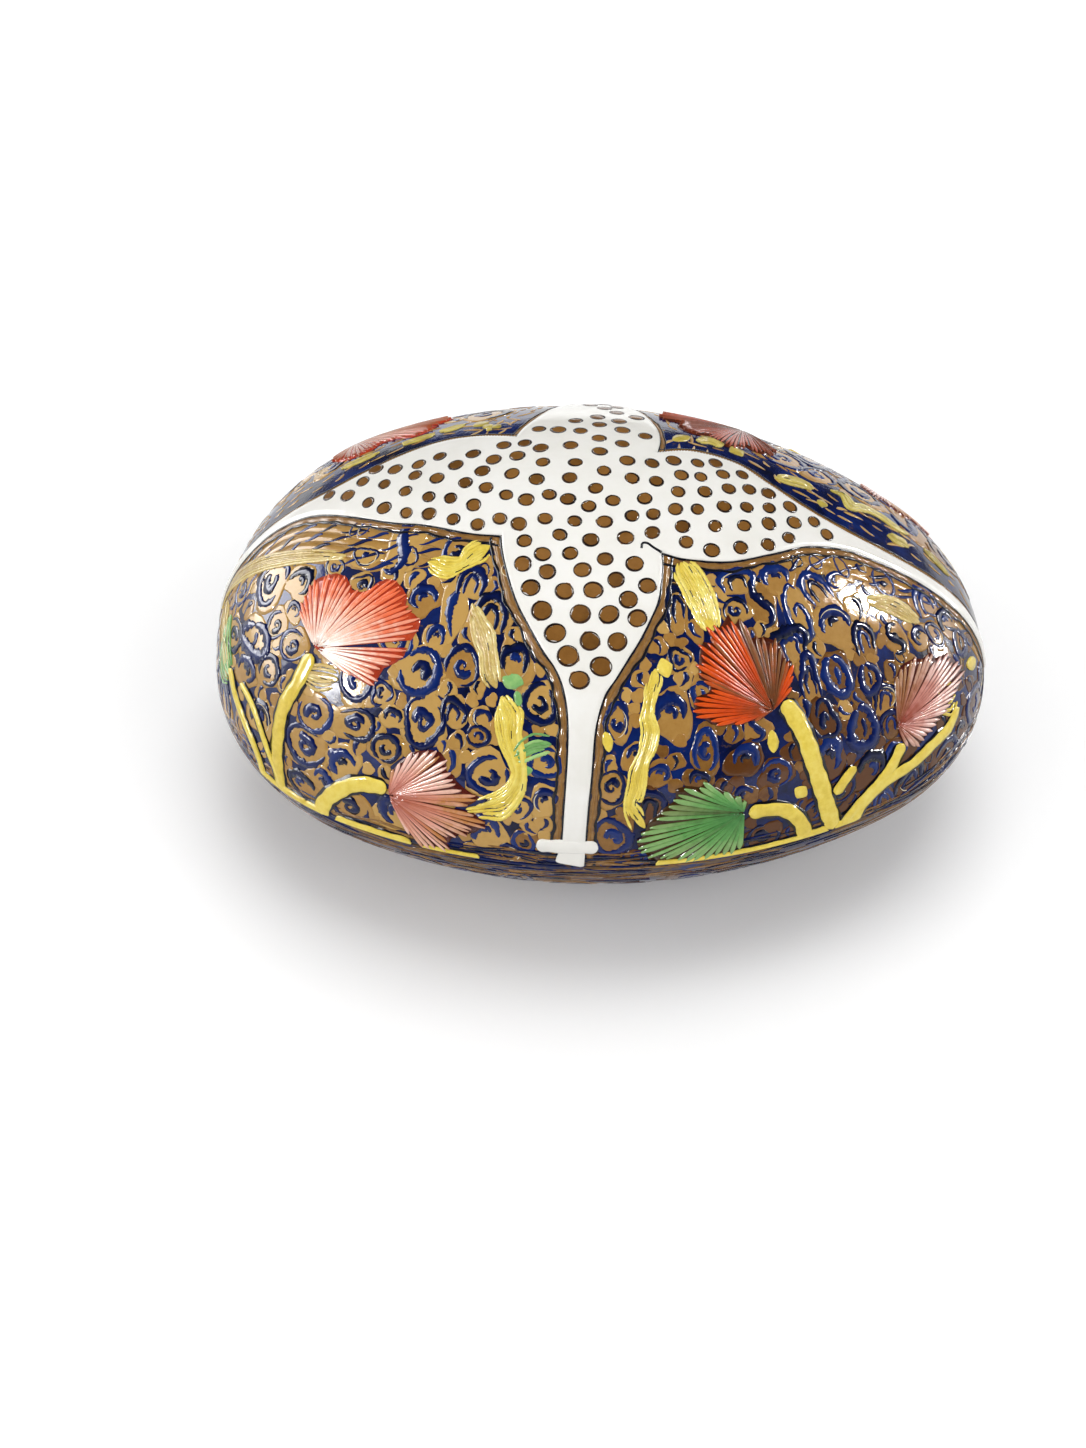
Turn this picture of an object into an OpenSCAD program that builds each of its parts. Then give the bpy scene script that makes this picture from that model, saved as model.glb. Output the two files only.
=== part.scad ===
// Egg-shaped lidded box of lacquered papier mache, with raised chalk ornament on its lid.
// The origin is at the middle of the flat it stands on; +X is the narrow end, -Y the front.

/* [Overall size] */
// Length over the two ends, without the ornament
length = 104.3; // [95:0.1:115]
// Depth from front to back, without the ornament
depth = 73.4; // [70:0.1:78]
// Height of the lid above the parting line, without the ornament
lid_h = 32.65; // [28:0.05:38]
// Height of the base below the parting line
base_h = 22; // [20:1:23]

/* [Egg outline] */
// Radius of the two long sides
side_r = 75; // [73:1:85]
// How far the widest place lies towards the blunt end
blunt_shift = 2.75; // [0:0.25:4]

/* [Paper walls] */
// Thickness of the pulp walls
wall = 4; // [3.8:0.1:4.5]
// Thickness of the pasted paper lining
lining = 0.5; // [0.4:0.1:0.8]
// Depth at which the base would end if it had no flat
bowl_h = 24; // [24:0.5:28]
// How full the base is: 2 is an ellipse, less is leaner
bowl_fullness = 1.65; // [1.6:0.05:2]
// Thickness of the base's floor
floor_t = 3; // [2.8:0.1:4]

/* [Collar] */
// Thickness of the board strip that locates the lid
collar_t = 1.4; // [1.2:0.1:1.5]
// Height that it stands above the parting line
collar_stand = 4; // [3:0.5:5]
// Depth that it is glued into the base
collar_seat = 3.5; // [3:0.5:3.5]
// Gap all round between the collar and the lid
collar_gap = 0.3; // [0.2:0.05:0.5]

/* [Raised ornament] */
// Thickness of the chalk relief
relief = 0.35; // [0.25:0.05:0.5]
// Half width of the medallion's stems to the front and back
stem_front = 1.5; // [1:0.1:2]
// Half width of the medallion's stems to the two ends
stem_side = 1; // [0.8:0.1:1.5]
// Width of the branches
branch_w = 2; // [1.5:0.1:2.5]

/* [Hidden] */
$fn = 90;

// The plan outline is an egg of four arcs: two round ends on the X axis and two long sides.
half_l = length / 2;
half_d = depth / 2;
side_x = -blunt_shift;
side_y = side_r - half_d;
blunt_r = end_radius(half_l + side_x);
narrow_r = end_radius(half_l - side_x);
blunt_x = blunt_r - half_l;
narrow_x = half_l - narrow_r;

glue = 0.1; // gap that the glue line takes beside the collar
hair = 0.01; // gap between a pasted layer and the wall behind it
collar_inset = wall - collar_t;
rabbet_inset = collar_inset - collar_gap;
rabbet_h = collar_stand + 0.4;
lid_rise = lid_h / half_d;
patch_depth = 5;
rim_clear = 0.5; // the ornament ends this far above the parting line

ring_steps = 72; // points on the outline, which is the same polygon in every part
outer_rings = 9; // level rings that the base is lofted from, outside and inside
inner_rings = 7;

// Radius of a round end that meets the long sides smoothly and reaches this far from their middle.
function end_radius(reach) =
    (pow(side_r, 2) - pow(reach, 2) - pow(side_y, 2)) / (2 * (side_r - reach));

// Where a round end of radius r about x = cx meets the long sides, on the outline shrunk by inset.
function joint_x(cx, r, inset) = side_x + (side_r - inset) * (cx - side_x) / (side_r - r);

// Half width at x of the outline shrunk by inset, and how fast it changes there.
function half_width(x, inset = 0) =
    x < joint_x(blunt_x, blunt_r, inset) ? arc_y(blunt_r - inset, x - blunt_x)
    : x > joint_x(narrow_x, narrow_r, inset) ? arc_y(narrow_r - inset, x - narrow_x)
    : arc_y(side_r - inset, x - side_x) - side_y;
function arc_y(r, x) = sqrt(max(r * r - x * x, 0));
function width_slope(x) =
    x < joint_x(blunt_x, blunt_r, 0) ? -(x - blunt_x) / half_width(x)
    : x > joint_x(narrow_x, narrow_r, 0) ? -(x - narrow_x) / half_width(x)
    : -(x - side_x) / (half_width(x) + side_y);

// Height of the lid above the parting line over a plan place, and the outward normal there.
function lid_z(p) = lid_rise * arc_y(half_width(p[0]), p[1]);
function lid_normal(p) =
    let (n = [-half_width(p[0]) * width_slope(p[0]), p[1], lid_z(p) / pow(lid_rise, 2)]) n / norm(n);

// Points of one side of the outline shrunk by inset, from the blunt end to the narrow end, as [y, x].
function profile(inset) = [for (i = [0:ring_steps / 2])
    let (x = -(half_l - inset) * cos(i * 360 / ring_steps), at_end = i == 0 || i == ring_steps / 2)
    [at_end ? 0 : half_width(x, inset), x]];

// Points of the whole outline shrunk by inset, from the blunt end round the front and back again.
function outline(inset) = let (half = profile(inset)) [for (i = [0:ring_steps - 1])
    i < ring_steps / 2 ? [half[i][1], -half[i][0]] : [half[ring_steps - i][1], half[ring_steps - i][0]]];

function reversed(list) = [for (k = [len(list) - 1:-1:0]) list[k]];

// A flat band between two insets of the outline.
module egg_band(outer, inner) {
    difference() {
        polygon(outline(outer));
        polygon(outline(inner));
    }
}

// A layer of the lid between two insets: the outline's side turned half round the X axis and flattened.
module dome(outer, inner) {
    scale([1, 1, lid_rise]) rotate([90, 0, 90]) rotate_extrude(angle = 180)
        polygon(concat(profile(outer), reversed(profile(inner))));
}

// What its children have above a height over the parting line.
module above(height) {
    intersection() {
        children();
        translate([-length, -depth, height]) cube([2 * length, 2 * depth, 2 * lid_h]);
    }
}

// One level ring of the outline, and how far the bowl has drawn in at this part of its depth.
function ring(inset, shrink, z) = [for (p = outline(inset)) [p[0] * shrink, p[1] * shrink, z]];
function drawn_in(part) = pow(1 - pow(part, bowl_fullness), 1 / bowl_fullness);

// Rings of a bowl surface between two depths, from the upper to the lower one.
function bowl(inset, full_h, top, bottom, count) = [for (k = [0:count])
    let (low = asin(pow(bottom / full_h, bowl_fullness / 2)), high = asin(pow(top / full_h, bowl_fullness / 2)))
    let (depth_here = full_h * pow(sin(high + (low - high) * k / count), 2 / bowl_fullness))
    ring(inset, drawn_in(depth_here / full_h), -depth_here)];

// Closed solid through a list of rings, with a flat at each end of the list.
module loft(rings) {
    n = ring_steps;
    last = (len(rings) - 1) * n;
    walls = [for (k = [0:len(rings) - 2], i = [0:n - 1])
        let (a = k * n + i, b = k * n + (i + 1) % n) each [[a, a + n, b], [b, a + n, b + n]]];
    polyhedron([for (r = rings) each r],
        concat([[for (i = [0:n - 1]) i]], walls, [[for (i = [n - 1:-1:0]) last + i]]));
}

module base_shell() {
    inner_h = bowl_h - wall;
    seat_inset = collar_inset - glue;
    outside = reversed(bowl(0, bowl_h, 0, base_h, outer_rings));
    seat = [ring(seat_inset, 1, 0), ring(seat_inset, 1, -collar_seat)];
    inside = bowl(wall, inner_h, collar_seat, base_h - floor_t, inner_rings);
    color("midnightblue") translate([0, 0, base_h]) loft(concat(outside, seat, inside));
}

module base_lining() {
    outer_inset = wall + hair;
    inner_inset = wall + lining;
    low = base_h - floor_t - hair;
    outside = bowl(outer_inset, bowl_h - outer_inset, collar_seat + hair, low, inner_rings);
    inside = bowl(inner_inset, bowl_h - inner_inset, collar_seat + hair, low - lining, inner_rings);
    color("maroon") translate([0, 0, base_h]) loft(concat(reversed(outside), inside));
}

module base_collar() {
    color("black") translate([0, 0, base_h - collar_seat])
        linear_extrude(height = collar_seat + collar_stand) egg_band(collar_inset, wall);
}

// The lid's wall stops at the collar's top; below that it thins to a rim that passes the collar.
module lid_shell() {
    color("darkgoldenrod") translate([0, 0, base_h]) {
        above(rabbet_h) dome(0, wall);
        intersection() {
            dome(0, 2 * wall);
            linear_extrude(height = rabbet_h) egg_band(-1, rabbet_inset);
        }
    }
}

module lid_lining() {
    color("maroon") translate([0, 0, base_h]) above(rabbet_h) dome(wall + hair, wall + lining);
}

// The thin layer over the lid that all the raised ornament is cut from; it stops short of the rim.
module relief_layer() {
    above(rim_clear) dome(-hair - relief, -hair);
}

// Puts a flat outline onto the lid at a plan place; its +X points down the slope there.
module on_lid(place, turn = 0) {
    n = lid_normal(place);
    translate([0, 0, base_h]) intersection() {
        relief_layer();
        translate([place[0], place[1], lid_z(place)]) rotate([0, acos(n[2]), atan2(n[1], n[0])])
            rotate([0, 0, turn]) translate([0, 0, -patch_depth]) linear_extrude(height = 2 * patch_depth)
                children();
    }
}

// Points of a smooth curve through four guide points.
function bend(a, b, c, d, steps) = [for (i = [0:steps])
    let (t = i / steps, s = 1 - t) s * s * s * a + 3 * s * s * t * b + 3 * s * t * t * c + t * t * t * d];

// The medallion's middle, the distance from there to its four notches, and how its lobes draw in:
// each lobe goes from a notch over a shoulder and a waist to the start of its stem.
pole = [-1.7, -0.5];
notch = [10, 9.6];
lobe_steps = 8;
function lobe_side(along, across, reach, stem) = bend([along, across], [along + reach * 0.36, across * 1.15],
    [along + reach * 0.64, stem * 1.3], [along + reach, stem], lobe_steps);

// Half of a lobe's outline mirrored into a whole lobe, with its stem running past the rim.
module lobe(along, across, reach, stem) {
    edge = concat([[0, across]], lobe_side(along, across, reach, stem), [[length, stem]]);
    polygon(concat(edge, [for (p = reversed(edge)) [p[0], -p[1]]]));
}

module lid_medallion() {
    color("white") translate([0, 0, base_h]) intersection() {
        relief_layer();
        translate([pole[0], pole[1], 0]) linear_extrude(height = 2 * lid_h) {
            lobe(notch[0], notch[1], 27, stem_side);
            rotate([0, 0, 180]) lobe(notch[0], notch[1], 27, stem_side);
            rotate([0, 0, 90]) lobe(notch[1], notch[0], 21, stem_front);
            rotate([0, 0, -90]) lobe(notch[1], notch[0], 21, stem_front);
        }
    }
}

// A chinar leaf: a fan of five pointed fingers about the end of its stalk.
leaf_spread = 130;
leaf_step = 5;
function finger(a, size) = size * (0.72 + 0.28 * pow(abs(cos(a * 900 / leaf_spread / 2)), 0.6));
module chinar_leaf(size) {
    polygon(concat([[0, 0]], [for (a = [-leaf_spread / 2:leaf_step:leaf_spread / 2])
        finger(a, size) * (1 - 0.25 * abs(a) / leaf_spread) * [cos(a), sin(a)]]));
}

module leaf(place, turn, size) {
    on_lid(place, turn) chinar_leaf(size);
}

module leaf_coral() { color("salmon") leaf([-33.5, -19], 140, 12); }
module leaf_rose() { color("palevioletred") leaf([-24.5, -32], 98, 12.5); }
module leaf_orange() { color("orangered") leaf([24.5, -24], -139, 12.5); }
module leaf_plum() { color("rosybrown") leaf([39.5, -21], 118, 12); }
module leaf_green() { color("seagreen") leaf([20.5, -32], -88, 13); }

module leaves_back_left() {
    color("salmon") {
        leaf([-33.5, 19], -140, 12);
        leaf([-24.5, 31.5], -98, 12.5);
    }
}

module leaves_back_right() {
    color("indianred") {
        leaf([18, 22], 160, 12);
        leaf([37, 21], -120, 11);
    }
}

// A branch: one width all along a bent line, with a round end at its tip.
function side_of(path, i) = let (d = path[min(i + 1, len(path) - 1)] - path[max(i - 1, 0)]) [-d[1], d[0]] / norm(d);
module twig(a, b, c, d) {
    path = bend(a, b, c, d, 8);
    last = len(path) - 1;
    polygon(concat([for (i = [0:last]) path[i] + side_of(path, i) * branch_w / 2],
        [for (i = [last:-1:0]) path[i] - side_of(path, i) * branch_w / 2]));
}

// In a branch's own plane +X points down the slope and +Y to the right, seen from outside.
module branch_right() {
    twig([9, 0], [4, -1], [-2, -4], [-8.5, -3.5]);
    twig([6, 0], [3, 6], [0, 8], [0.5, 11]);
    twig([9, -1], [7, -6], [4, -7], [3, -10]);
}

module branch_left() {
    twig([10.5, -8], [8, -10], [4, -11], [1, -9]);
    twig([11, -5], [8, -1], [7, 2], [6.5, 6]);
    twig([12, 1], [12.5, 3], [12.5, 6], [12, 9]);
}

module branch_front_right() { color("khaki") on_lid([30, -27]) branch_right(); }
module branch_front_left() { color("khaki") on_lid([-30, -27]) branch_left(); }
module branch_back_right() { color("khaki") on_lid([30, 26.5]) mirror([0, 1]) branch_right(); }
module branch_back_left() { color("khaki") on_lid([-30, 26.5]) mirror([0, 1]) branch_left(); }

base_shell();
base_lining();
base_collar();
lid_shell();
lid_lining();
lid_medallion();
leaf_coral();
leaf_rose();
leaf_orange();
leaf_plum();
leaf_green();
leaves_back_left();
leaves_back_right();
branch_front_left();
branch_front_right();
branch_back_left();
branch_back_right();
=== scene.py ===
import bpy, bmesh, math
import numpy as np
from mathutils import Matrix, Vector


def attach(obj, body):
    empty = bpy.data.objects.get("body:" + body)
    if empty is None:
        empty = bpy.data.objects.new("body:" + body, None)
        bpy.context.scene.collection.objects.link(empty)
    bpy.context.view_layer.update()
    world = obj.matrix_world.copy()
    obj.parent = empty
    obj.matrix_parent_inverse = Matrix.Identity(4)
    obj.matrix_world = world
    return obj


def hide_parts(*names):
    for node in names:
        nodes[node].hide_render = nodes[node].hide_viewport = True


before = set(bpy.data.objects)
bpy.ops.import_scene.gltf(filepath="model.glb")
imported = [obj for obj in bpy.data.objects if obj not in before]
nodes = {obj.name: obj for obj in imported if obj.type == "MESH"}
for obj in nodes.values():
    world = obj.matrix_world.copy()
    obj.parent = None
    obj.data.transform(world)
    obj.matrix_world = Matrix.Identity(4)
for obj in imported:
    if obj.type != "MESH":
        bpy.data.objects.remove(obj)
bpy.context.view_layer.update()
print("frame loaded:", len(nodes), "solids")

# The box's own form, in millimetres: an egg in plan, a half-turned dome for the lid, a lean bowl below
box = {
    "length": 104.3, "depth": 73.4, "sideRadius": 75.0, "bluntShift": 2.75,
    "lidHeight": 32.65, "seamHeight": 22.0, "bowlDepth": 24.0, "bowlFullness": 1.65,
    "wall": 4.0, "lining": 0.5, "floor": 3.0, "rabbetInset": 2.3, "rabbetHeight": 4.4,
    "seatInset": 2.5, "seatDepth": 3.5, "around": 576, "seed": 7,
    # how the rims round off (inset, distance from the seam), the foot's rings, and the air behind the paper
    "rimRound": [(0.03, 0.12), (0.12, 0.03), (0.35, 0.0)], "rimStart": 0.35,
    "footRound": 0.25, "footRings": [0.995, 0.97, 0.6, 0.2], "paperGap": 0.02,
}
dice = np.random.default_rng(box["seed"])
halfLength, halfDepth = box["length"] / 2, box["depth"] / 2
sideX, sideY = -box["bluntShift"], box["sideRadius"] - box["depth"] / 2
lidRise = box["lidHeight"] / halfDepth
seam = np.array([0.0, 0.0, box["seamHeight"]])


def endRadius(reach):
    return (box["sideRadius"] ** 2 - reach ** 2 - sideY ** 2) / (2 * (box["sideRadius"] - reach))


bluntRadius, narrowRadius = endRadius(halfLength + sideX), endRadius(halfLength - sideX)
bluntX, narrowX = bluntRadius - halfLength, halfLength - narrowRadius


# Half width of the plan squared, and its slope along X. Past the ends it goes on below zero.
def widthSquared(x, inset=0.0):
    side, blunt, narrow = box["sideRadius"] - inset, bluntRadius - inset, narrowRadius - inset
    joinLeft = sideX + side * (bluntX - sideX) / (box["sideRadius"] - bluntRadius)
    joinRight = sideX + side * (narrowX - sideX) / (box["sideRadius"] - narrowRadius)
    root = np.sqrt(np.maximum(side ** 2 - (x - sideX) ** 2, 1e-9))
    square = np.where(x < joinLeft, blunt ** 2 - (x - bluntX) ** 2,
                      np.where(x > joinRight, narrow ** 2 - (x - narrowX) ** 2, (root - sideY) ** 2))
    slope = np.where(x < joinLeft, -2 * (x - bluntX),
                     np.where(x > joinRight, -2 * (x - narrowX), -2 * (root - sideY) * (x - sideX) / root))
    return square, slope


# Length run along a line up to each of its points
def runAlong(line):
    return np.concatenate([[0], np.cumsum(np.linalg.norm(np.diff(line, axis=0), axis=1))])


# The plan's outline as evenly spaced points, and the way outward at each
def planOutline(count):
    turn = np.linspace(0, math.pi, 4001)
    x = -halfLength * np.cos(turn)
    y = np.sqrt(np.maximum(widthSquared(x)[0], 0))
    line = np.concatenate([np.stack([x, -y], 1), np.stack([x, y], 1)[::-1][1:-1]])
    line = np.concatenate([line, line[:1]])
    run = runAlong(line)
    at = np.linspace(0, run[-1], count + 1)[:-1]
    loop = np.stack([np.interp(at, run, line[:, 0]), np.interp(at, run, line[:, 1])], 1)
    out = np.roll(loop, -1, 0) - np.roll(loop, 1, 0)
    out = np.stack([out[:, 1], -out[:, 0]], 1)
    return loop, out / np.linalg.norm(out, axis=1)[:, None]


outlineLoop, outlineOut = planOutline(box["around"])
polarAngle = np.unwrap(np.arctan2(outlineLoop[:, 1], outlineLoop[:, 0]))
polarOrder = np.argsort(np.mod(polarAngle, 2 * math.pi))
polarTurn = np.mod(polarAngle, 2 * math.pi)[polarOrder]
polarReach = np.linalg.norm(outlineLoop, axis=1)[polarOrder]


# How far out a plan place lies: 1 on the outline
def planGauge(x, y):
    turn = np.mod(np.arctan2(y, x), 2 * math.pi)
    return np.hypot(x, y) / np.interp(turn, polarTurn, polarReach, period=2 * math.pi)


# Moves points onto the lid or the base and lifts them along the surface's normal
def ontoLid(points, lift=0.0, rim=0.25):
    p = np.array(points, float) - seam
    low = p[:, 2] < rim
    p[low, 2] = rim
    for step in range(8):
        square, slope = widthSquared(p[:, 0])
        value = p[:, 1] ** 2 + (p[:, 2] / lidRise) ** 2 - square
        grad = np.stack([-slope, 2 * p[:, 1], 2 * p[:, 2] / lidRise ** 2], 1)
        held = (low | (p[:, 2] < rim)) & (step > 1)
        p[held, 2] = rim
        grad[held, 2] = 0
        p -= (value / np.maximum((grad ** 2).sum(1), 1e-9))[:, None] * grad
    square, slope = widthSquared(p[:, 0])
    normal = np.stack([-slope, 2 * p[:, 1], 2 * p[:, 2] / lidRise ** 2], 1)
    normal /= np.linalg.norm(normal, axis=1)[:, None]
    return p + normal * np.asarray(lift).reshape(-1, 1) + seam, normal


# Zero on the base's skin and more outside it
def baseValue(p):
    power = box["bowlFullness"]
    return planGauge(p[:, 0], p[:, 1]) ** power + (np.maximum(-p[:, 2], 0) / box["bowlDepth"]) ** power - 1


def baseSlope(p, step=0.01):
    return np.stack([(baseValue(p + d) - baseValue(p - d)) / (2 * step) for d in np.eye(3) * step], 1)


def ontoBase(points, lift=0.0, rim=0.25, foot=0.2, rounds=9):
    p = np.array(points, float) - seam
    for turn in range(rounds):
        p[:, 2] = np.clip(p[:, 2], foot - box["seamHeight"], -rim)
        value, grad = baseValue(p), baseSlope(p)
        p -= (value / np.maximum((grad ** 2).sum(1), 1e-9))[:, None] * grad * (0.9 if turn < rounds - 1 else 1)
    p[:, 2] = np.clip(p[:, 2], foot - box["seamHeight"], -rim)
    normal = baseSlope(p)
    normal /= np.linalg.norm(normal, axis=1)[:, None]
    return p + normal * np.asarray(lift).reshape(-1, 1) + seam, normal


# A plan place on the lid, and the axes there: down the slope, to the right seen from outside, and out
def lidPlace(x, y):
    square = float(widthSquared(np.array([x]))[0][0])
    height = lidRise * math.sqrt(max(square - y * y, 0.04))
    point, normal = ontoLid([[x, y, height + seam[2]]])
    return point[0], slopeAxes(normal[0])


# Down the slope, to the right and out, from the way out alone
def slopeAxes(out):
    turn = math.atan2(out[1], out[0])
    right = np.array([-math.sin(turn), math.cos(turn), 0.0])
    return np.cross(right, out), right, out


def linearHex(text):
    parts = [int(text[i:i + 2], 16) / 255 for i in (1, 3, 5)]
    return (*[c / 12.92 if c <= 0.04045 else ((c + 0.055) / 1.055) ** 2.4 for c in parts], 1.0)


def addNode(tree, kind, inputs={}, **settings):
    made = tree.nodes.new("ShaderNode" + kind)
    for name, value in settings.items():
        if name == "stops":
            ramp = made.color_ramp
            while len(ramp.elements) < len(value):
                ramp.elements.new(1.0)
            for element, (place, colour) in zip(ramp.elements, value):
                element.position = place
                element.color = linearHex(colour) if isinstance(colour, str) else (colour, colour, colour, 1)
        else:
            setattr(made, name, value)
    for name, value in inputs.items():
        if isinstance(value, bpy.types.NodeSocket):
            tree.links.new(value, made.inputs[name])
        else:
            made.inputs[name].default_value = value
    return made


# Clear varnish over paint or chalk: one smooth thin skin, so lamps show in it as hard white gleams. Brushing it
# on leaves waves 3 mm apart, and the paint below shows through as ripples 0.8 mm apart. Both break the edges of
# the gleams. Scales are per metre, heights in metres.
varnish = {"gloss": 0.3, "waveScale": 330.0, "waveHeight": 0.0002,
           "rippleScale": 1250.0, "rippleHeight": 0.0001}


def varnished(name, roughness=0.12, ior=1.42, waves=0.22, ripples=0.3):
    made = bpy.data.materials.new(name)
    made.use_nodes = True
    tree = made.node_tree
    tree.nodes.clear()
    place = addNode(tree, "TexCoord").outputs["Object"]
    shader = addNode(tree, "BsdfPrincipled", {"Roughness": roughness, "IOR": ior,
                                              "Specular IOR Level": varnish["gloss"]})
    wave = addNode(tree, "TexNoise", {"Vector": place, "Scale": varnish["waveScale"], "Detail": 2.0})
    ripple = addNode(tree, "TexNoise", {"Vector": place, "Scale": varnish["rippleScale"], "Detail": 3.0,
                                        "Roughness": 0.6})
    soft = addNode(tree, "Bump", {"Height": wave.outputs["Fac"], "Strength": waves,
                                  "Distance": varnish["waveHeight"]})
    fine = addNode(tree, "Bump", {"Height": ripple.outputs["Fac"], "Strength": ripples,
                                  "Distance": varnish["rippleHeight"], "Normal": soft.outputs["Normal"]})
    tree.links.new(fine.outputs["Normal"], shader.inputs["Normal"])
    addNode(tree, "OutputMaterial", {"Surface": shader.outputs["BSDF"]})
    return made, tree, place, shader


# Paint of one pot laid with a brush: cloudy thick and thin places, and each stroke a little lighter or darker.
# grain is the size in mm of the clouds, strokeShare how far each stroke's own tone decides.
def potPaint(name, dark, middle, light, strokeShare=0.5, grain=2.4, **more):
    made, tree, place, shader = varnished(name, **more)
    cloud = addNode(tree, "TexNoise", {"Vector": place, "Scale": 1000 / grain, "Detail": 5.0,
                                       "Roughness": 0.65})
    stroke = addNode(tree, "Attribute", attribute_name="tone")
    both = addNode(tree, "Mix", {"Factor": strokeShare, "A": cloud.outputs["Fac"], "B": stroke.outputs["Fac"]})
    ramp = addNode(tree, "ValToRGB", {"Fac": both.outputs["Result"]},
                   stops=[(0.25, dark), (0.5, middle), (0.75, light)])
    tree.links.new(ramp.outputs["Color"], shader.inputs["Base Color"])
    return made


# Indigo ground brushed straight on the pulp: deep blue, cloudy, with brownish rubbed places where size and
# gold dust were wiped over it. The clouds are 7 mm across and the wiped places 5 mm.
def indigoGround(name, rubbed):
    made, tree, place, shader = varnished(name)
    cloud = addNode(tree, "TexNoise", {"Vector": place, "Scale": 150.0, "Detail": 6.0, "Roughness": 0.7})
    deep = addNode(tree, "ValToRGB", {"Fac": cloud.outputs["Fac"]},
                   stops=[(0.36, "#050B28"), (0.5, "#08174C"), (0.66, "#0F2868")])
    squashed = addNode(tree, "Mapping", {"Vector": place, "Scale": (1.0, 1.0, 2.6)})
    wipe = addNode(tree, "TexNoise", {"Vector": squashed.outputs["Vector"], "Scale": 210.0, "Detail": 5.0,
                                      "Roughness": 0.72})
    share = addNode(tree, "ValToRGB", {"Fac": wipe.outputs["Fac"]},
                    stops=[(1 - rubbed - 0.03, 0.0), (1 - rubbed + 0.05, 1.0)])
    mixed = addNode(tree, "Mix", {"Factor": share.outputs["Color"], "A": deep.outputs["Color"],
                                  "B": linearHex("#5A4226")}, data_type="RGBA")
    tree.links.new(mixed.outputs["Result"], shader.inputs["Base Color"])
    return made


# Tinted chalk and glue paste, ridge beside ridge: pale at the stalk and full at the tips.
# muted and bright are the two pots; each ridge carries how far it leans to the bright one, and darkens to the
# groove colour down both of its sides, as painted shade of the rounded ridge. The streaks of the brush are 1 mm
# apart.
def leafPaste(name, muted, bright, groove):
    made, tree, place, shader = varnished(name, roughness=0.2, waves=0.1, ripples=0.45)
    along = addNode(tree, "Attribute", attribute_name="along")
    tone = addNode(tree, "Attribute", attribute_name="tone")
    tint = addNode(tree, "Attribute", attribute_name="tint")
    streak = addNode(tree, "TexNoise", {"Vector": place, "Scale": 900.0, "Detail": 3.0})
    reach = addNode(tree, "Math", {0: streak.outputs["Fac"], 1: 0.5, 2: along.outputs["Fac"]},
                    operation="MULTIPLY_ADD")
    colours = [addNode(tree, "ValToRGB", {"Fac": reach.outputs["Value"]},
                       stops=[(0.3, pot[0]), (0.75, pot[1]), (1.0, pot[2])]) for pot in (muted, bright)]
    lean = addNode(tree, "Math", {0: streak.outputs["Fac"], 1: 0.6, 2: tint.outputs["Fac"]},
                   operation="MULTIPLY_ADD")
    share = addNode(tree, "ValToRGB", {"Fac": lean.outputs["Value"]}, stops=[(0.42, 0.0), (1.0, 1.0)])
    mixed = addNode(tree, "Mix", {"Factor": share.outputs["Color"], "A": colours[0].outputs["Color"],
                                  "B": colours[1].outputs["Color"]}, data_type="RGBA")
    # painted shade: each ridge darkens to the groove colour down both of its sides
    side = addNode(tree, "ValToRGB", {"Fac": tone.outputs["Fac"]}, stops=[(0.2, 0.0), (0.5, 1.0)])
    shadedSides = addNode(tree, "Mix", {"Factor": side.outputs["Color"], "A": linearHex(groove),
                                 "B": mixed.outputs["Result"]}, data_type="RGBA")
    tree.links.new(shadedSides.outputs["Result"], shader.inputs["Base Color"])
    return made


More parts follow.
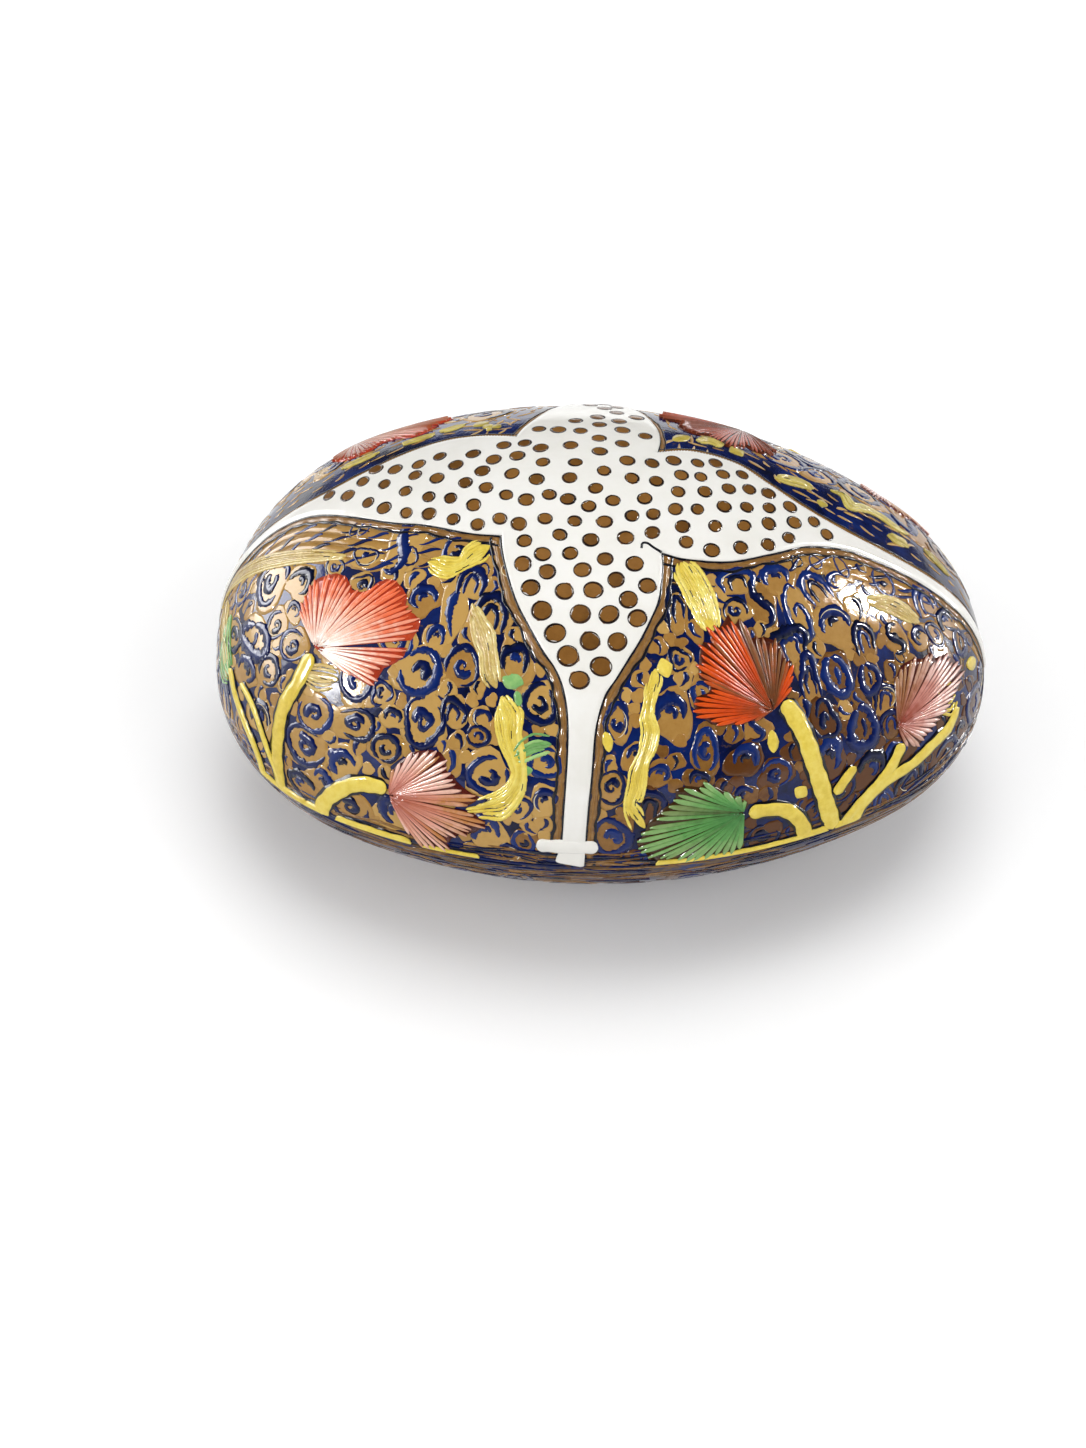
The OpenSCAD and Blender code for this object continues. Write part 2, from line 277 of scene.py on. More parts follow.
paints = {
    # deep blue under everything, nearly plain on the lid and rubbed brown on the base
    "lidGround": indigoGround("indigoBrushedOnPulp", 0.36),
    "baseGround": indigoGround("indigoBrushedAndWiped", 0.47),
    # bronze powder in size: an ochre gold that turns brown at its low tones; the discs' tones carry painted
    # shade, so it browns on the right and low down
    "gold": potPaint("bronzePowderBrushed", "#5C3616", "#A2763A", "#C29A56", strokeShare=0.78, grain=0.9),
    # the scrolls: flat dark blue, darkest along a stroke's edges, where pooled paint and painted shade of the
    # rounded stroke both darken it
    "indigo": potPaint("indigoScrollsBrushed", "#050B22", "#08174E", "#102A6C", strokeShare=0.6, grain=1.6),
    # thin pale lines between the scrolls
    "cream": potPaint("creamLineBrushed", "#A08458", "#CDB88A", "#E8DCBC", grain=1.2),
    # burnished white paste, nearly even, faintly cloudy
    "white": potPaint("chalkPasteBurnished", "#EDEBE3", "#F4F2EC", "#F9F8F4", strokeShare=0.0, grain=9.0,
                      ripples=0.2),
    # warm brown dabs and the darker line round them
    "umber": potPaint("umberDabbed", "#64421C", "#7F5627", "#916531", grain=1.1),
    "sepia": potPaint("sepiaLineBrushed", "#1E1410", "#33231A", "#4B3524", grain=1.0),
    # border lines: near black beside gold brown
    "ink": potPaint("lampBlackLineBrushed", "#08080F", "#12121C", "#25222C", grain=1.0),
    "border": potPaint("goldBrownLineBrushed", "#6B4A28", "#916B3D", "#B8905A", grain=0.8, strokeShare=0.3),
    # opaque yellow paste: clean and bright, a little uneven
    "yellow": potPaint("orpimentPasteRaised", "#D2B43C", "#ECD258", "#F8E678", strokeShare=0.3, grain=1.4),
    # the same yellow rubbed over gold, and thinned to olive on the far side
    "paleGold": potPaint("orpimentRubbedOnGold", "#A8843E", "#CDB065", "#E6D48E", strokeShare=0.3, grain=1.1),
    "olive": potPaint("orpimentThinned", "#8C7630", "#C2AE4C", "#DDCB68", strokeShare=0.3, grain=1.2),
    "leafGreen": potPaint("verdigrisDabbed", "#5F9650", "#86BA70", "#B0D486", grain=1.2),
    # dark red stained paper, matt where the varnish sank in
    "lining": potPaint("pastedPaperStained", "#3A0D12", "#5A161B", "#6B2024", strokeShare=0.0, grain=5.0,
                       roughness=0.6, waves=0.2, ripples=0.9),
    # pressed board blacked with glue size: dull, faintly fibrous
    "collar": potPaint("pressedBoardBlacked", "#0E0D10", "#17161A", "#242226", strokeShare=0.0, grain=3.0,
                       roughness=0.5, ripples=0.8),
}
print("paints mixed:", len(paints))


def meshPiece(name, points, faces, material, body, attributes={}):
    mesh = bpy.data.meshes.new(name)
    mesh.from_pydata((np.asarray(points) * 0.001).tolist(), [], faces)
    for key, values in attributes.items():
        made = mesh.attributes.new(key, "FLOAT", "POINT")
        made.data.foreach_set("value", np.asarray(values, np.float32))
    mesh.materials.append(material)
    mesh.polygons.foreach_set("use_smooth", [True] * len(mesh.polygons))
    mesh.validate()
    made = bpy.data.objects.new(name, mesh)
    bpy.context.scene.collection.objects.link(made)
    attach(made, body)
    return made


# A closed skin through matching loops of points, with a point to close each end of the list
def loftPiece(name, loops, first, last, material, body):
    count = len(loops[0])
    points = np.concatenate([*loops, [first, last]])
    ring = np.arange(count)
    after = np.roll(ring, -1)
    faces = []
    for k in range(len(loops) - 1):
        a = k * count
        faces += np.stack([a + ring, a + after, a + count + after, a + count + ring], 1).tolist()
    top, end = len(loops) * count, (len(loops) - 1) * count
    faces += [[top, b, a] for a, b in zip(ring, after)]
    faces += [[end + a, end + b, top + 1] for a, b in zip(ring, after)]
    return meshPiece(name, points, faces, material, body)


def insetLoop(inset):
    return outlineLoop - outlineOut * inset


# Level loops of the lid's dome at an inset, from near its top down to where it meets a height
def domeLoops(inset, stopHeight, count):
    loop = insetLoop(inset)
    tops = []
    for turn in np.linspace(0, 1, count + 1)[1:]:
        share = math.sin(turn * math.pi / 2)
        flat = loop * share
        height = lidRise * np.sqrt(np.maximum(widthSquared(flat[:, 0], inset)[0] - flat[:, 1] ** 2, 0))
        low = height < stopHeight
        if low.any():
            near, far = np.zeros(len(flat)), np.ones(len(flat)) * share  # slide back along each ray
            for step in range(30):
                middle = (near + far) / 2
                tried = loop * middle[:, None]
                at = lidRise * np.sqrt(np.maximum(widthSquared(tried[:, 0], inset)[0] - tried[:, 1] ** 2, 0))
                near, far = np.where(at > stopHeight, middle, near), np.where(at > stopHeight, far, middle)
            flat[low] = (loop * near[:, None])[low]
            height[low] = stopHeight
        tops.append(np.column_stack([flat, height + seam[2]]))
    return tops


def flatLoop(inset, height, shrink=1.0):
    return np.column_stack([insetLoop(inset) * shrink, np.full(len(outlineLoop), height)])


# Level loops of a bowl from one depth below the seam to another
def bowlLoops(inset, fullDepth, top, bottom, count):
    power = box["bowlFullness"]
    start, stop = [math.asin((d / fullDepth) ** (power / 2)) for d in (top, bottom)]
    made = []
    for turn in np.linspace(start, stop, count):
        depth = fullDepth * math.sin(turn) ** (2 / power)
        made.append(flatLoop(inset, seam[2] - depth, math.cos(turn) ** (2 / power)))
    return made


def domePeak(inset):
    return [0, 0, seam[2] + lidRise * math.sqrt(float(widthSquared(np.array([0.0]), inset)[0][0]))]


def buildBodies():
    wall, gap, lining = box["wall"], box["paperGap"], box["lining"]
    outside = domeLoops(0.0, box["rimStart"], 90)
    edge = [flatLoop(inset, seam[2] + height) for inset, height in box["rimRound"]]
    rabbet = [flatLoop(box["rabbetInset"], seam[2]),
              flatLoop(box["rabbetInset"], seam[2] + box["rabbetHeight"])]
    inner = domeLoops(wall, box["rabbetHeight"], 44)[::-1]
    lid = loftPiece("lidPulp", outside + edge + rabbet + inner, domePeak(0.0), domePeak(wall),
                    paints["lidGround"], "lid")
    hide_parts("lid_shell")
    outer = domeLoops(wall + gap, box["rabbetHeight"], 40)
    inside = domeLoops(wall + lining, box["rabbetHeight"], 40)[::-1]
    skin = loftPiece("lidLiningPaper", outer + inside, domePeak(wall + gap), domePeak(wall + lining),
                     paints["lining"], "lid")
    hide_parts("lid_lining")

    floor, footTop = box["seamHeight"] - box["floor"], box["seamHeight"] - box["footRound"]
    cup = [flatLoop(inset, seam[2] - height) for inset, height in box["rimRound"][::-1]]
    cup += bowlLoops(0.0, box["bowlDepth"], box["rimStart"], footTop, 60)
    foot = bowlLoops(0.0, box["bowlDepth"], footTop, box["seamHeight"], 2)[1]
    cup += [foot * [share, share, 1] for share in box["footRings"]]
    well = [flatLoop(box["seatInset"], seam[2]), flatLoop(box["seatInset"], seam[2] - box["seatDepth"])]
    well += bowlLoops(wall, box["bowlDepth"] - wall, box["seatDepth"], floor, 30)
    base = loftPiece("basePulp", well[::-1] + cup, [0, 0, seam[2] - floor], [0, 0, 0],
                     paints["baseGround"], "base")
    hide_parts("base_shell")
    seat = box["seatDepth"] + 0.01
    outer = bowlLoops(wall + gap, box["bowlDepth"] - wall - gap, seat, floor - 0.01, 30)
    inside = bowlLoops(wall + lining, box["bowlDepth"] - wall - lining, seat, floor - lining, 30)
    skin = loftPiece("baseLiningPaper", inside[::-1] + outer, [0, 0, seam[2] - floor + lining],
                     [0, 0, seam[2] - floor + 0.01], paints["lining"], "base")
    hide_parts("base_lining")
    nodes["base_collar"].data.materials.clear()
    nodes["base_collar"].data.materials.append(paints["collar"])


buildBodies()
print("lid and base turned")


pressed = -0.03  # how far the edges of paint and paste go under the surface that they lie on, in mm


# A sheet collects many strokes of one paint, as places and how far each stands off the surface, into one piece
def newSheet(onto):
    lists = {key: [] for key in ("points", "lifts", "faces", "tone", "along", "tint")}
    return {"onto": onto, "count": 0, **lists}


def addPatch(sheet, points, lifts, faces, tone, along, tint=0.5):
    sheet["points"].append(points)
    sheet["lifts"].append(lifts)
    sheet["faces"] += [block + sheet["count"] for block in faces]
    for key, value in (("tone", tone), ("along", along), ("tint", tint)):
        sheet[key].append(np.broadcast_to(np.asarray(value, float), len(points)))
    sheet["count"] += len(points)


def gridFaces(long, wide):
    grid = np.arange(long * wide).reshape(long, wide)
    return np.stack([grid[:-1, :-1], grid[1:, :-1], grid[1:, 1:], grid[:-1, 1:]], -1).reshape(-1, 4)


# One stroke: a band along a path, crowned if the paint is thick, with all its edges pressed just under.
# edgeShade darkens the paint along both edges and lightens its middle: painted shade that makes the stroke look
# rounded.
def addStroke(sheet, path, half, lift, tone=0.5, across=2, crown=0.0, skirt=pressed, halfRight=None, edgeShade=0.0,
              tint=0.5):
    path = np.asarray(path, float)
    half = np.broadcast_to(np.asarray(half, float), len(path))
    halfRight = half if halfRight is None else np.broadcast_to(np.asarray(halfRight, float), len(path))
    base, normal = sheet["onto"](path)
    ahead = np.gradient(base, axis=0)
    ahead /= np.maximum(np.linalg.norm(ahead, axis=1), 1e-9)[:, None]
    side = np.cross(normal, ahead)
    # both ends get one more row, pressed under
    order = np.concatenate([[0], np.arange(len(path)), [len(path) - 1]])
    edge = np.ones(len(order), bool)
    edge[1:-1] = False
    base, side, half, halfRight = base[order], side[order], half[order], halfRight[order]
    rows = np.linspace(-1, 1, across)
    rows = np.concatenate([[-1], rows, [1]])
    heights = lift + crown * (1 - rows ** 2)
    heights[0] = heights[-1] = skirt
    widths = np.where(rows[None] > 0, half[:, None], halfRight[:, None]) * rows[None]
    points = base[:, None] + side[:, None] * widths[..., None]
    lifts = np.where(edge[:, None], skirt, heights[None])
    # painted shade across the stroke: darker at both edges, lighter in the middle
    tones = np.clip(tone - edgeShade * (2 * rows ** 2 - 1)[None], 0, 1) * np.ones((len(order), 1))
    share = np.linspace(0, 1, len(order))[:, None] * np.ones((1, len(rows)))
    addPatch(sheet, points.reshape(-1, 3), lifts.ravel(), [gridFaces(len(order), len(rows))],
             tones.ravel(), share.ravel(), tint)


# A dab: a small disc with an uneven edge, a little higher in its middle
def addDab(sheet, centre, axes, radii, lift, dome=0.0, tone=0.5, uneven=0.08, corners=18, turn=0.0):
    down, right, out = axes
    angles = np.linspace(0, 2 * math.pi, corners, endpoint=False)
    wobble = 1 + uneven * np.sin(angles * 2 + dice.uniform(0, 6)) \
        + uneven * np.sin(angles * 3 + dice.uniform(0, 6)) \
        + 0.5 * uneven * np.sin(angles * 5 + dice.uniform(0, 6))
    c, s = math.cos(turn), math.sin(turn)
    rings, lifts = [np.zeros((1, 2))], [np.array([lift + dome])]
    for share, high in ((0.5, lift + dome * 0.8), (0.85, lift + dome * 0.35), (1.0, lift), (1.0, pressed)):
        a, b = np.cos(angles) * radii[0] * wobble * share, np.sin(angles) * radii[1] * wobble * share
        rings.append(np.stack([a * c - b * s, a * s + b * c], 1))
        lifts.append(np.full(corners, high))
    flat = np.concatenate(rings)
    points = centre + flat[:, :1] * right - flat[:, 1:] * down
    ring = np.arange(corners)
    after = np.roll(ring, -1)
    tris = np.stack([np.zeros(corners, int), 1 + ring, 1 + after], 1)
    quads = [np.stack([1 + k * corners + ring, 1 + (k + 1) * corners + ring, 1 + (k + 1) * corners + after,
                       1 + k * corners + after], 1) for k in range(3)]
    addPatch(sheet, points, np.concatenate(lifts), [tris, *quads], tone, 0.5)


# Makes a sheet's piece, which stands for the solids named in replaces
def sheetPiece(name, sheet, material, body, replaces=()):
    points = sheet["onto"](np.concatenate(sheet["points"]), np.concatenate(sheet["lifts"]))[0]
    faces = [row for block in sheet["faces"] for row in block.tolist()]
    made = meshPiece(name, points, faces, material, body,
                     {key: np.concatenate(sheet[key]) for key in ("tone", "along", "tint")})
    if replaces:
        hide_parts(*replaces)


# A smooth line through guide points, with points evenly spaced along it
def smoothLine(guides, spacing=0.5):
    g = np.asarray(guides, float)
    ext = np.concatenate([[2 * g[0] - g[1]], g, [2 * g[-1] - g[-2]]])
    parts = []
    for k in range(len(g) - 1):
        a, b, c, d = ext[k:k + 4]
        t = np.linspace(0, 1, 24)[:, None][:-1]
        parts.append(0.5 * (2 * b + (c - a) * t + (2 * a - 5 * b + 4 * c - d) * t ** 2
                            + (3 * b - a - 3 * c + d) * t ** 3))
    line = np.concatenate([*parts, g[-1:]])
    return evenly(line, spacing)


def evenly(line, spacing):
    run = runAlong(line)
    count = max(int(run[-1] / spacing), 3) + 1
    at = np.linspace(0, run[-1], count)
    return np.stack([np.interp(at, run, line[:, k]) for k in range(line.shape[1])], 1)


# Plan points on the lid to points in space, evenly spaced over the surface
def draped(plan, spacing=0.4):
    fine = smoothLine(plan, 0.15)
    square = widthSquared(fine[:, 0])[0]
    height = lidRise * np.sqrt(np.maximum(square - fine[:, 1] ** 2, 0.05))
    points = ontoLid(np.column_stack([fine, height + seam[2]]))[0]
    return evenly(points, spacing)


# The white medallion: its borders in plan, each from a notch out to the rim, and how the chalk rounds off there
medallion = {
    "relief": 0.35, "rounding": 0.6, "under": -0.1, "across": 22,
    "front": [[(-11.6, -9.6), (-11.2, -11.9), (-10.3, -14.9), (-8.9, -18.3), (-7.1, -21.1), (-5.3, -23.5),
               (-3.7, -25.2), (-2.6, -27.0), (-1.9, -29.5), (-1.8, -32.7), (-2.2, -36.0), (-2.6, -36.5),
               (-3.2, -36.68)],
              [(8.4, -10.8), (8.6, -13.2), (8.3, -16.9), (7.4, -19.4), (6.2, -21.8), (4.9, -23.8),
               (3.6, -25.7), (2.3, -27.4), (1.4, -30.1), (1.1, -33.3), (0.6, -36.0), (0.5, -36.5),
               (0.4, -36.68)]],
    "left": [[(-11.4, 9.3), (-16.4, 10.1), (-21.4, 9.7), (-26.7, 7.5), (-31.7, 4.8), (-36.1, 3.0), (-41.0, 2.3),
              (-47.0, 2.0), (-51.9, 1.9)],
             [(-11.6, -9.6), (-15.8, -8.9), (-21.7, -6.9), (-26.3, -5.6), (-32.3, -2.9), (-37.3, -0.6),
              (-42.1, 0.4), (-47.0, 0.4), (-51.9, 0.2)]],
    "right": [[(8.4, -10.8), (11.6, -11.1), (17.0, -10.2), (22.3, -7.5), (26.8, -4.7), (32.0, -3.0),
               (37.8, -2.7), (43.6, -2.6), (49.0, -1.9), (51.9, -1.4)],
              [(7.1, 6.9), (11.6, 8.5), (17.2, 7.7), (21.5, 4.8), (26.0, 2.1), (31.3, 0.3), (37.1, -0.5),
               (42.9, -0.7), (49.0, 0.0), (51.9, 0.4)]],
    "back": [[(7.1, 6.9), (7.3, 9.7), (6.9, 12.9), (5.9, 16.1), (4.5, 19.6), (2.9, 23.2), (1.6, 26.0),
              (0.8, 29.0), (0.5, 32.0), (0.4, 36.0)],
             [(-11.4, 9.3), (-10.7, 11.7), (-9.3, 15.1), (-7.7, 19.2), (-6.3, 22.1), (-4.6, 25.0), (-3.4, 27.5),
              (-2.8, 30.0), (-2.6, 32.5), (-2.6, 36.0)]],
}
borders = {key: [draped(line) for line in pair] for key, pair in medallion.items() if isinstance(pair, list)}
borderPoints = np.concatenate([line for pair in borders.values() for line in pair])


def borderDistance(points):
    found = np.empty(len(points))
    for k in range(0, len(points), 2000):
        part = points[k:k + 2000]
        found[k:k + 2000] = np.sqrt(((part[:, None, :] - borderPoints[None]) ** 2).sum(2)).min(1)
    return found


def chalkLift(distance):
    rest = 1 - np.clip(distance / medallion["rounding"], 0, 1)
    return medallion["relief"] * np.sqrt(np.maximum(1 - rest ** 2, 0))


def buildMedallion():
    points, faces, start = [], [], 0
    across = np.linspace(0, 1, medallion["across"] + 1)
    across = 0.5 - 0.5 * np.sin((0.5 - across) * math.pi)  # closer together near the borders
    fields = []
    for one, two in borders.values():
        long = max(len(one), len(two)) * 2
        a, b = [np.stack([np.interp(np.linspace(0, 1, long), np.linspace(0, 1, len(e)), e[:, k])
                          for k in range(3)], 1) for e in (one, two)]
        fields.append(a[:, None] + (b - a)[:, None] * across[None, :, None])
    corner = [borders["front"][0][0], borders["front"][1][0], borders["right"][1][0], borders["left"][0][0]]
    u, v = np.meshgrid(across, across, indexing="ij")
    u, v = u[..., None], v[..., None]
    fields.append((1 - u) * (1 - v) * corner[0] + u * (1 - v) * corner[1] + u * v * corner[2]
                  + (1 - u) * v * corner[3])
    for k, field in enumerate(fields):
        flat = ontoLid(field.reshape(-1, 3))[0]
        raised = ontoLid(flat, chalkLift(borderDistance(flat)))[0].reshape(field.shape)
        if k < 4:  # the two borders and the stem's end get a row pressed into the pulp
            under = ontoLid(flat, medallion["under"])[0].reshape(field.shape)
            raised = np.concatenate([under[:, :1], raised, under[:, -1:]], 1)
            end = np.concatenate([under[-1:, :1], under[-1:], under[-1:, -1:]], 1)
            raised = np.concatenate([raised, end], 0)
        points.append(raised.reshape(-1, 3))
        faces += (gridFaces(*raised.shape[:2]) + start).tolist()
        start += len(points[-1])
    made = meshPiece("lidMedallionChalk", np.concatenate(points), faces, paints["white"], "lid")
    work = bmesh.new()
    work.from_mesh(made.data)
    bmesh.ops.remove_doubles(work, verts=work.verts, dist=2e-6)
    bmesh.ops.recalc_face_normals(work, faces=work.faces)
    work.to_mesh(made.data)
    work.free()
    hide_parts("lid_medallion")


buildMedallion()


# The medallion's whole outline in plan: out along one border of each lobe and back along the other
def planRing():
    order = [("front", 0, 1), ("front", 1, -1), ("right", 0, 1), ("right", 1, -1),
             ("back", 0, 1), ("back", 1, -1), ("left", 0, 1), ("left", 1, -1)]
    return np.concatenate([borders[key][side][::step, :2] for key, side, step in order])


# Whether plan points lie inside a ring: a ray from each crosses it an odd number of times
def withinRing(points, ring):
    x, y = points[:, 0], points[:, 1]
    inside = np.zeros(len(points), bool)
    a, b = ring, np.roll(ring, -1, 0)
    for (ax, ay), (bx, by) in zip(a, b):
        if ay == by:
            continue
        hit = ((ay > y) != (by > y)) & (x < (bx - ax) * (y - ay) / (by - ay) + ax)
        inside ^= hit
    return inside


medallionRing = planRing()[::2]

# Brown dabs over the medallion, each ringed by a thin dark line. places are the plan points of their middles.
spots = {
    "radius": (0.84, 1.0), "frontMore": 0.3, "ring": 0.11, "uneven": 0.09,
    "lift": 0.03, "dome": 0.04, "ringLift": 0.05, "ringSkirt": 0.02,
    "places": [
        (-0.6, 20.1), (1.2, 18.0), (-1.2, 15.4), (3.9, 16.5), (-4.0, 13.7), (1.7, 14.4), (-0.8, 12.7),
        (-8.6, 10.9), (-6.0, 10.7), (2.3, 11.5), (-3.1, 10.5), (5.3, 10.4), (-0.6, 8.7), (-10.1, 7.1),
        (2.5, 7.7), (-4.1, 6.6), (-12.8, 6.8), (-7.9, 5.9), (-0.3, 5.5), (-16.6, 5.2), (-10.8, 4.2),
        (-21.0, 5.5), (-13.8, 3.6), (9.2, 5.2), (3.3, 3.9), (-7.4, 2.7), (-3.2, 2.8), (6.5, 3.9),
        (12.3, 5.5), (14.6, 6.3), (-23.6, 4.3), (-18.6, 3.1), (-29.4, 5.1), (-26.7, 4.1), (0.5, 1.4),
        (-15.0, 1.3), (-11.1, 0.5), (15.6, 4.1), (10.3, 2.3), (18.1, 5.0), (-23.8, 2.0), (12.8, 2.6),
        (-3.7, -0.3), (-20.8, 0.8), (4.1, 0.4), (-7.9, -0.7), (7.2, 0.4), (-30.8, 2.9), (-17.0, -0.7),
        (-27.7, 1.3), (-14.2, -1.9), (-0.3, -2.0), (16.4, 1.4), (19.0, 2.2), (10.0, -1.0), (-24.7, -0.9),
        (13.4, -0.1), (21.5, 2.4), (-6.1, -3.4), (-11.5, -3.4), (-32.5, 0.7), (-21.5, -2.6), (-18.6, -3.3),
        (5.9, -3.0), (-3.7, -4.1), (-8.9, -4.3), (2.0, -3.9), (-29.5, -1.7), (-15.5, -4.8), (-1.0, -5.1),
        (15.9, -2.1), (24.3, 1.0), (18.8, -1.3), (21.6, -0.4), (-27.2, -3.3), (9.8, -4.1), (12.6, -3.5),
        (-24.1, -4.8), (-21.1, -5.5), (7.1, -5.4), (4.5, -6.1), (-6.3, -7.3), (-12.0, -7.2), (-17.9, -6.8),
        (-2.6, -7.6), (1.1, -7.4), (27.4, -0.4), (24.9, -1.7), (-9.5, -8.1), (-14.7, -7.9), (21.6, -3.2),
        (18.5, -4.6), (14.9, -5.7), (10.8, -6.7), (7.1, -8.3), (29.1, -1.9), (-4.3, -9.7), (3.9, -9.5),
        (24.2, -4.6), (-0.4, -10.2), (-8.6, -10.6), (11.4, -8.9), (21.6, -6.6), (18.2, -8.1), (14.6, -9.4),
        (-2.8, -12.2), (-6.2, -12.4), (1.5, -12.7), (5.2, -12.9), (-8.6, -13.7), (-1.2, -14.3),
        (-5.5, -14.7), (3.0, -15.2), (6.9, -15.5), (-7.4, -16.7), (0.3, -16.7), (-3.2, -17.0), (4.7, -17.4),
        (-5.8, -19.3), (-1.1, -19.5), (2.4, -19.3), (5.9, -19.4), (-4.0, -21.7), (0.3, -22.3), (3.6, -22.1),
        (-2.3, -23.9), (1.8, -24.7), (-0.8, -26.1), (-2.6, 22.2), (-0.9, 24.6), (1.0, 21.6), (-35.2, 2.0)],
}


def buildSpots():
    dabs, rings = newSheet(ontoLid), newSheet(ontoLid)
    for x, y in spots["places"]:
        centre, (down, right, out) = lidPlace(x, y)
        radius = dice.uniform(*spots["radius"]) + spots["frontMore"] * min(max((-y - 10) / 12, 0), 1)
        flat, turn = dice.uniform(0.86, 0.98), dice.uniform(-0.4, 0.4)
        addDab(dabs, centre, (down, right, out), (radius, radius * flat), medallion["relief"] + spots["lift"],
               spots["dome"], dice.uniform(0.1, 0.9), turn=turn, uneven=spots["uneven"])
        angles = np.linspace(0, 2 * math.pi, 27)
        a, b = np.cos(angles) * radius, np.sin(angles) * radius * flat
        loop = centre + np.outer(a * math.cos(turn) - b * math.sin(turn), right) \
            - np.outer(a * math.sin(turn) + b * math.cos(turn), down)
        addStroke(rings, loop, spots["ring"] * (1 + 0.4 * np.sin(angles + dice.uniform(0, 6))),
                  medallion["relief"] + spots["ringLift"], dice.uniform(0, 0.8),
                  skirt=medallion["relief"] - spots["ringSkirt"])
    sheetPiece("lidMedallionSpots", dabs, paints["umber"], "lid")
    sheetPiece("lidMedallionSpotRings", rings, paints["sepia"], "lid")


buildSpots()

# Along each border: a dark line against the white, then gold brown with a pale streak, then dark again. Rows
# are how far out the middle runs, half width and lift. farSide is the share of the first two at the back, and
# hook is the dark stroke in the right front notch.
borderLines = {"gold": (0.68, 0.5, 0.07), "inner": (0.1, 0.15, 0.1), "outer": (1.3, 0.17, 0.1),
               "streak": (0.62, 0.13, 0.09)}
borderForm = {
    "farSide": (0.55, 0.5), "hook": [(8.4, -10.9), (7.4, -10.4), (6.6, -9.9), (6.0, -10.0), (5.9, -10.7)],
    "hookHalf": 0.16, "hookLift": 0.04, "hookSkirt": 0.05}


# A line beside one border of the medallion, so far out on the lid
def borderPath(key, turn, offset):
    base, normal = ontoLid(borders[key][turn])
    ahead = np.gradient(base, axis=0)
    ahead /= np.linalg.norm(ahead, axis=1)[:, None]
    side = np.cross(normal, ahead)
    third = len(base) // 3
    away = -1 if withinRing((base + side)[third:third + 1, :2], medallionRing)[0] else 1
    return base + side * away * np.asarray(offset).reshape(-1, 1)


def buildBorderLines():
    gold, ink, pale = newSheet(ontoLid), newSheet(ontoLid), newSheet(ontoLid)
    sheets = {"gold": gold, "inner": ink, "outer": ink, "streak": pale}
    for key, pair in borders.items():
        for turn, line in enumerate(pair):
            run = np.linspace(0, len(line) * 0.4, len(line))
            shake = 0.1 * np.sin(run * 0.9 + turn * 2) + 0.06 * np.sin(run * 2.3 + turn)
            far = key == "back" or (key, turn) in (("left", 0), ("right", 1))
            for name, (offset, half, lift) in borderLines.items():
                if far:
                    offset, half = offset * borderForm["farSide"][0], half * borderForm["farSide"][1]
                swell = half * (1 + 0.3 * np.sin(run * 0.7 + offset * 9) * np.sin(run * 1.9 + turn))
                addStroke(sheets[name], borderPath(key, turn, offset + shake * offset), swell, lift, 0.4)
    addStroke(ink, draped(borderForm["hook"], 0.25), borderForm["hookHalf"],
              medallion["relief"] + borderForm["hookLift"], 0.4,
              skirt=medallion["relief"] - borderForm["hookSkirt"])
    sheetPiece("lidBorderGoldLine", gold, paints["border"], "lid")
    sheetPiece("lidBorderPaleStreak", pale, paints["gold"], "lid")
    sheetPiece("lidBorderDarkLines", ink, paints["ink"], "lid")


buildBorderLines()

# The front stem ends in a small foot: a bar with round ends, laid a little thicker, just above the lid's rim
foot = {"left": -5.6, "right": 2.2, "above": 3.75, "half": 1.0, "lift": 0.34, "crown": 0.15}


def buildFoot():
    sheet = newSheet(ontoLid)
    x = np.linspace(foot["left"], foot["right"], 40)
    bar = np.column_stack([x, np.full(40, -halfDepth), np.full(40, seam[2] + foot["above"])])
    bar = evenly(ontoLid(bar)[0], 0.15)
    addStroke(sheet, bar, roundEnded(bar, foot["half"]), foot["lift"], across=9, crown=foot["crown"])
    sheetPiece("lidMedallionFoot", sheet, paints["white"], "lid")


# A half width that rounds off both ends of a line
def roundEnded(line, half):
    run = runAlong(line)
    width = half
    for reach in (run, run[-1] - run):
        width = width * np.sqrt(np.maximum(1 - (1 - np.minimum(reach, half) / half) ** 2, 0))
    return np.maximum(width * (1 + 0.06 * np.sin(run * 1.3 + half * 9) + 0.04 * np.sin(run * 2.9)), 0.02)


buildFoot()
print("medallion laid on")
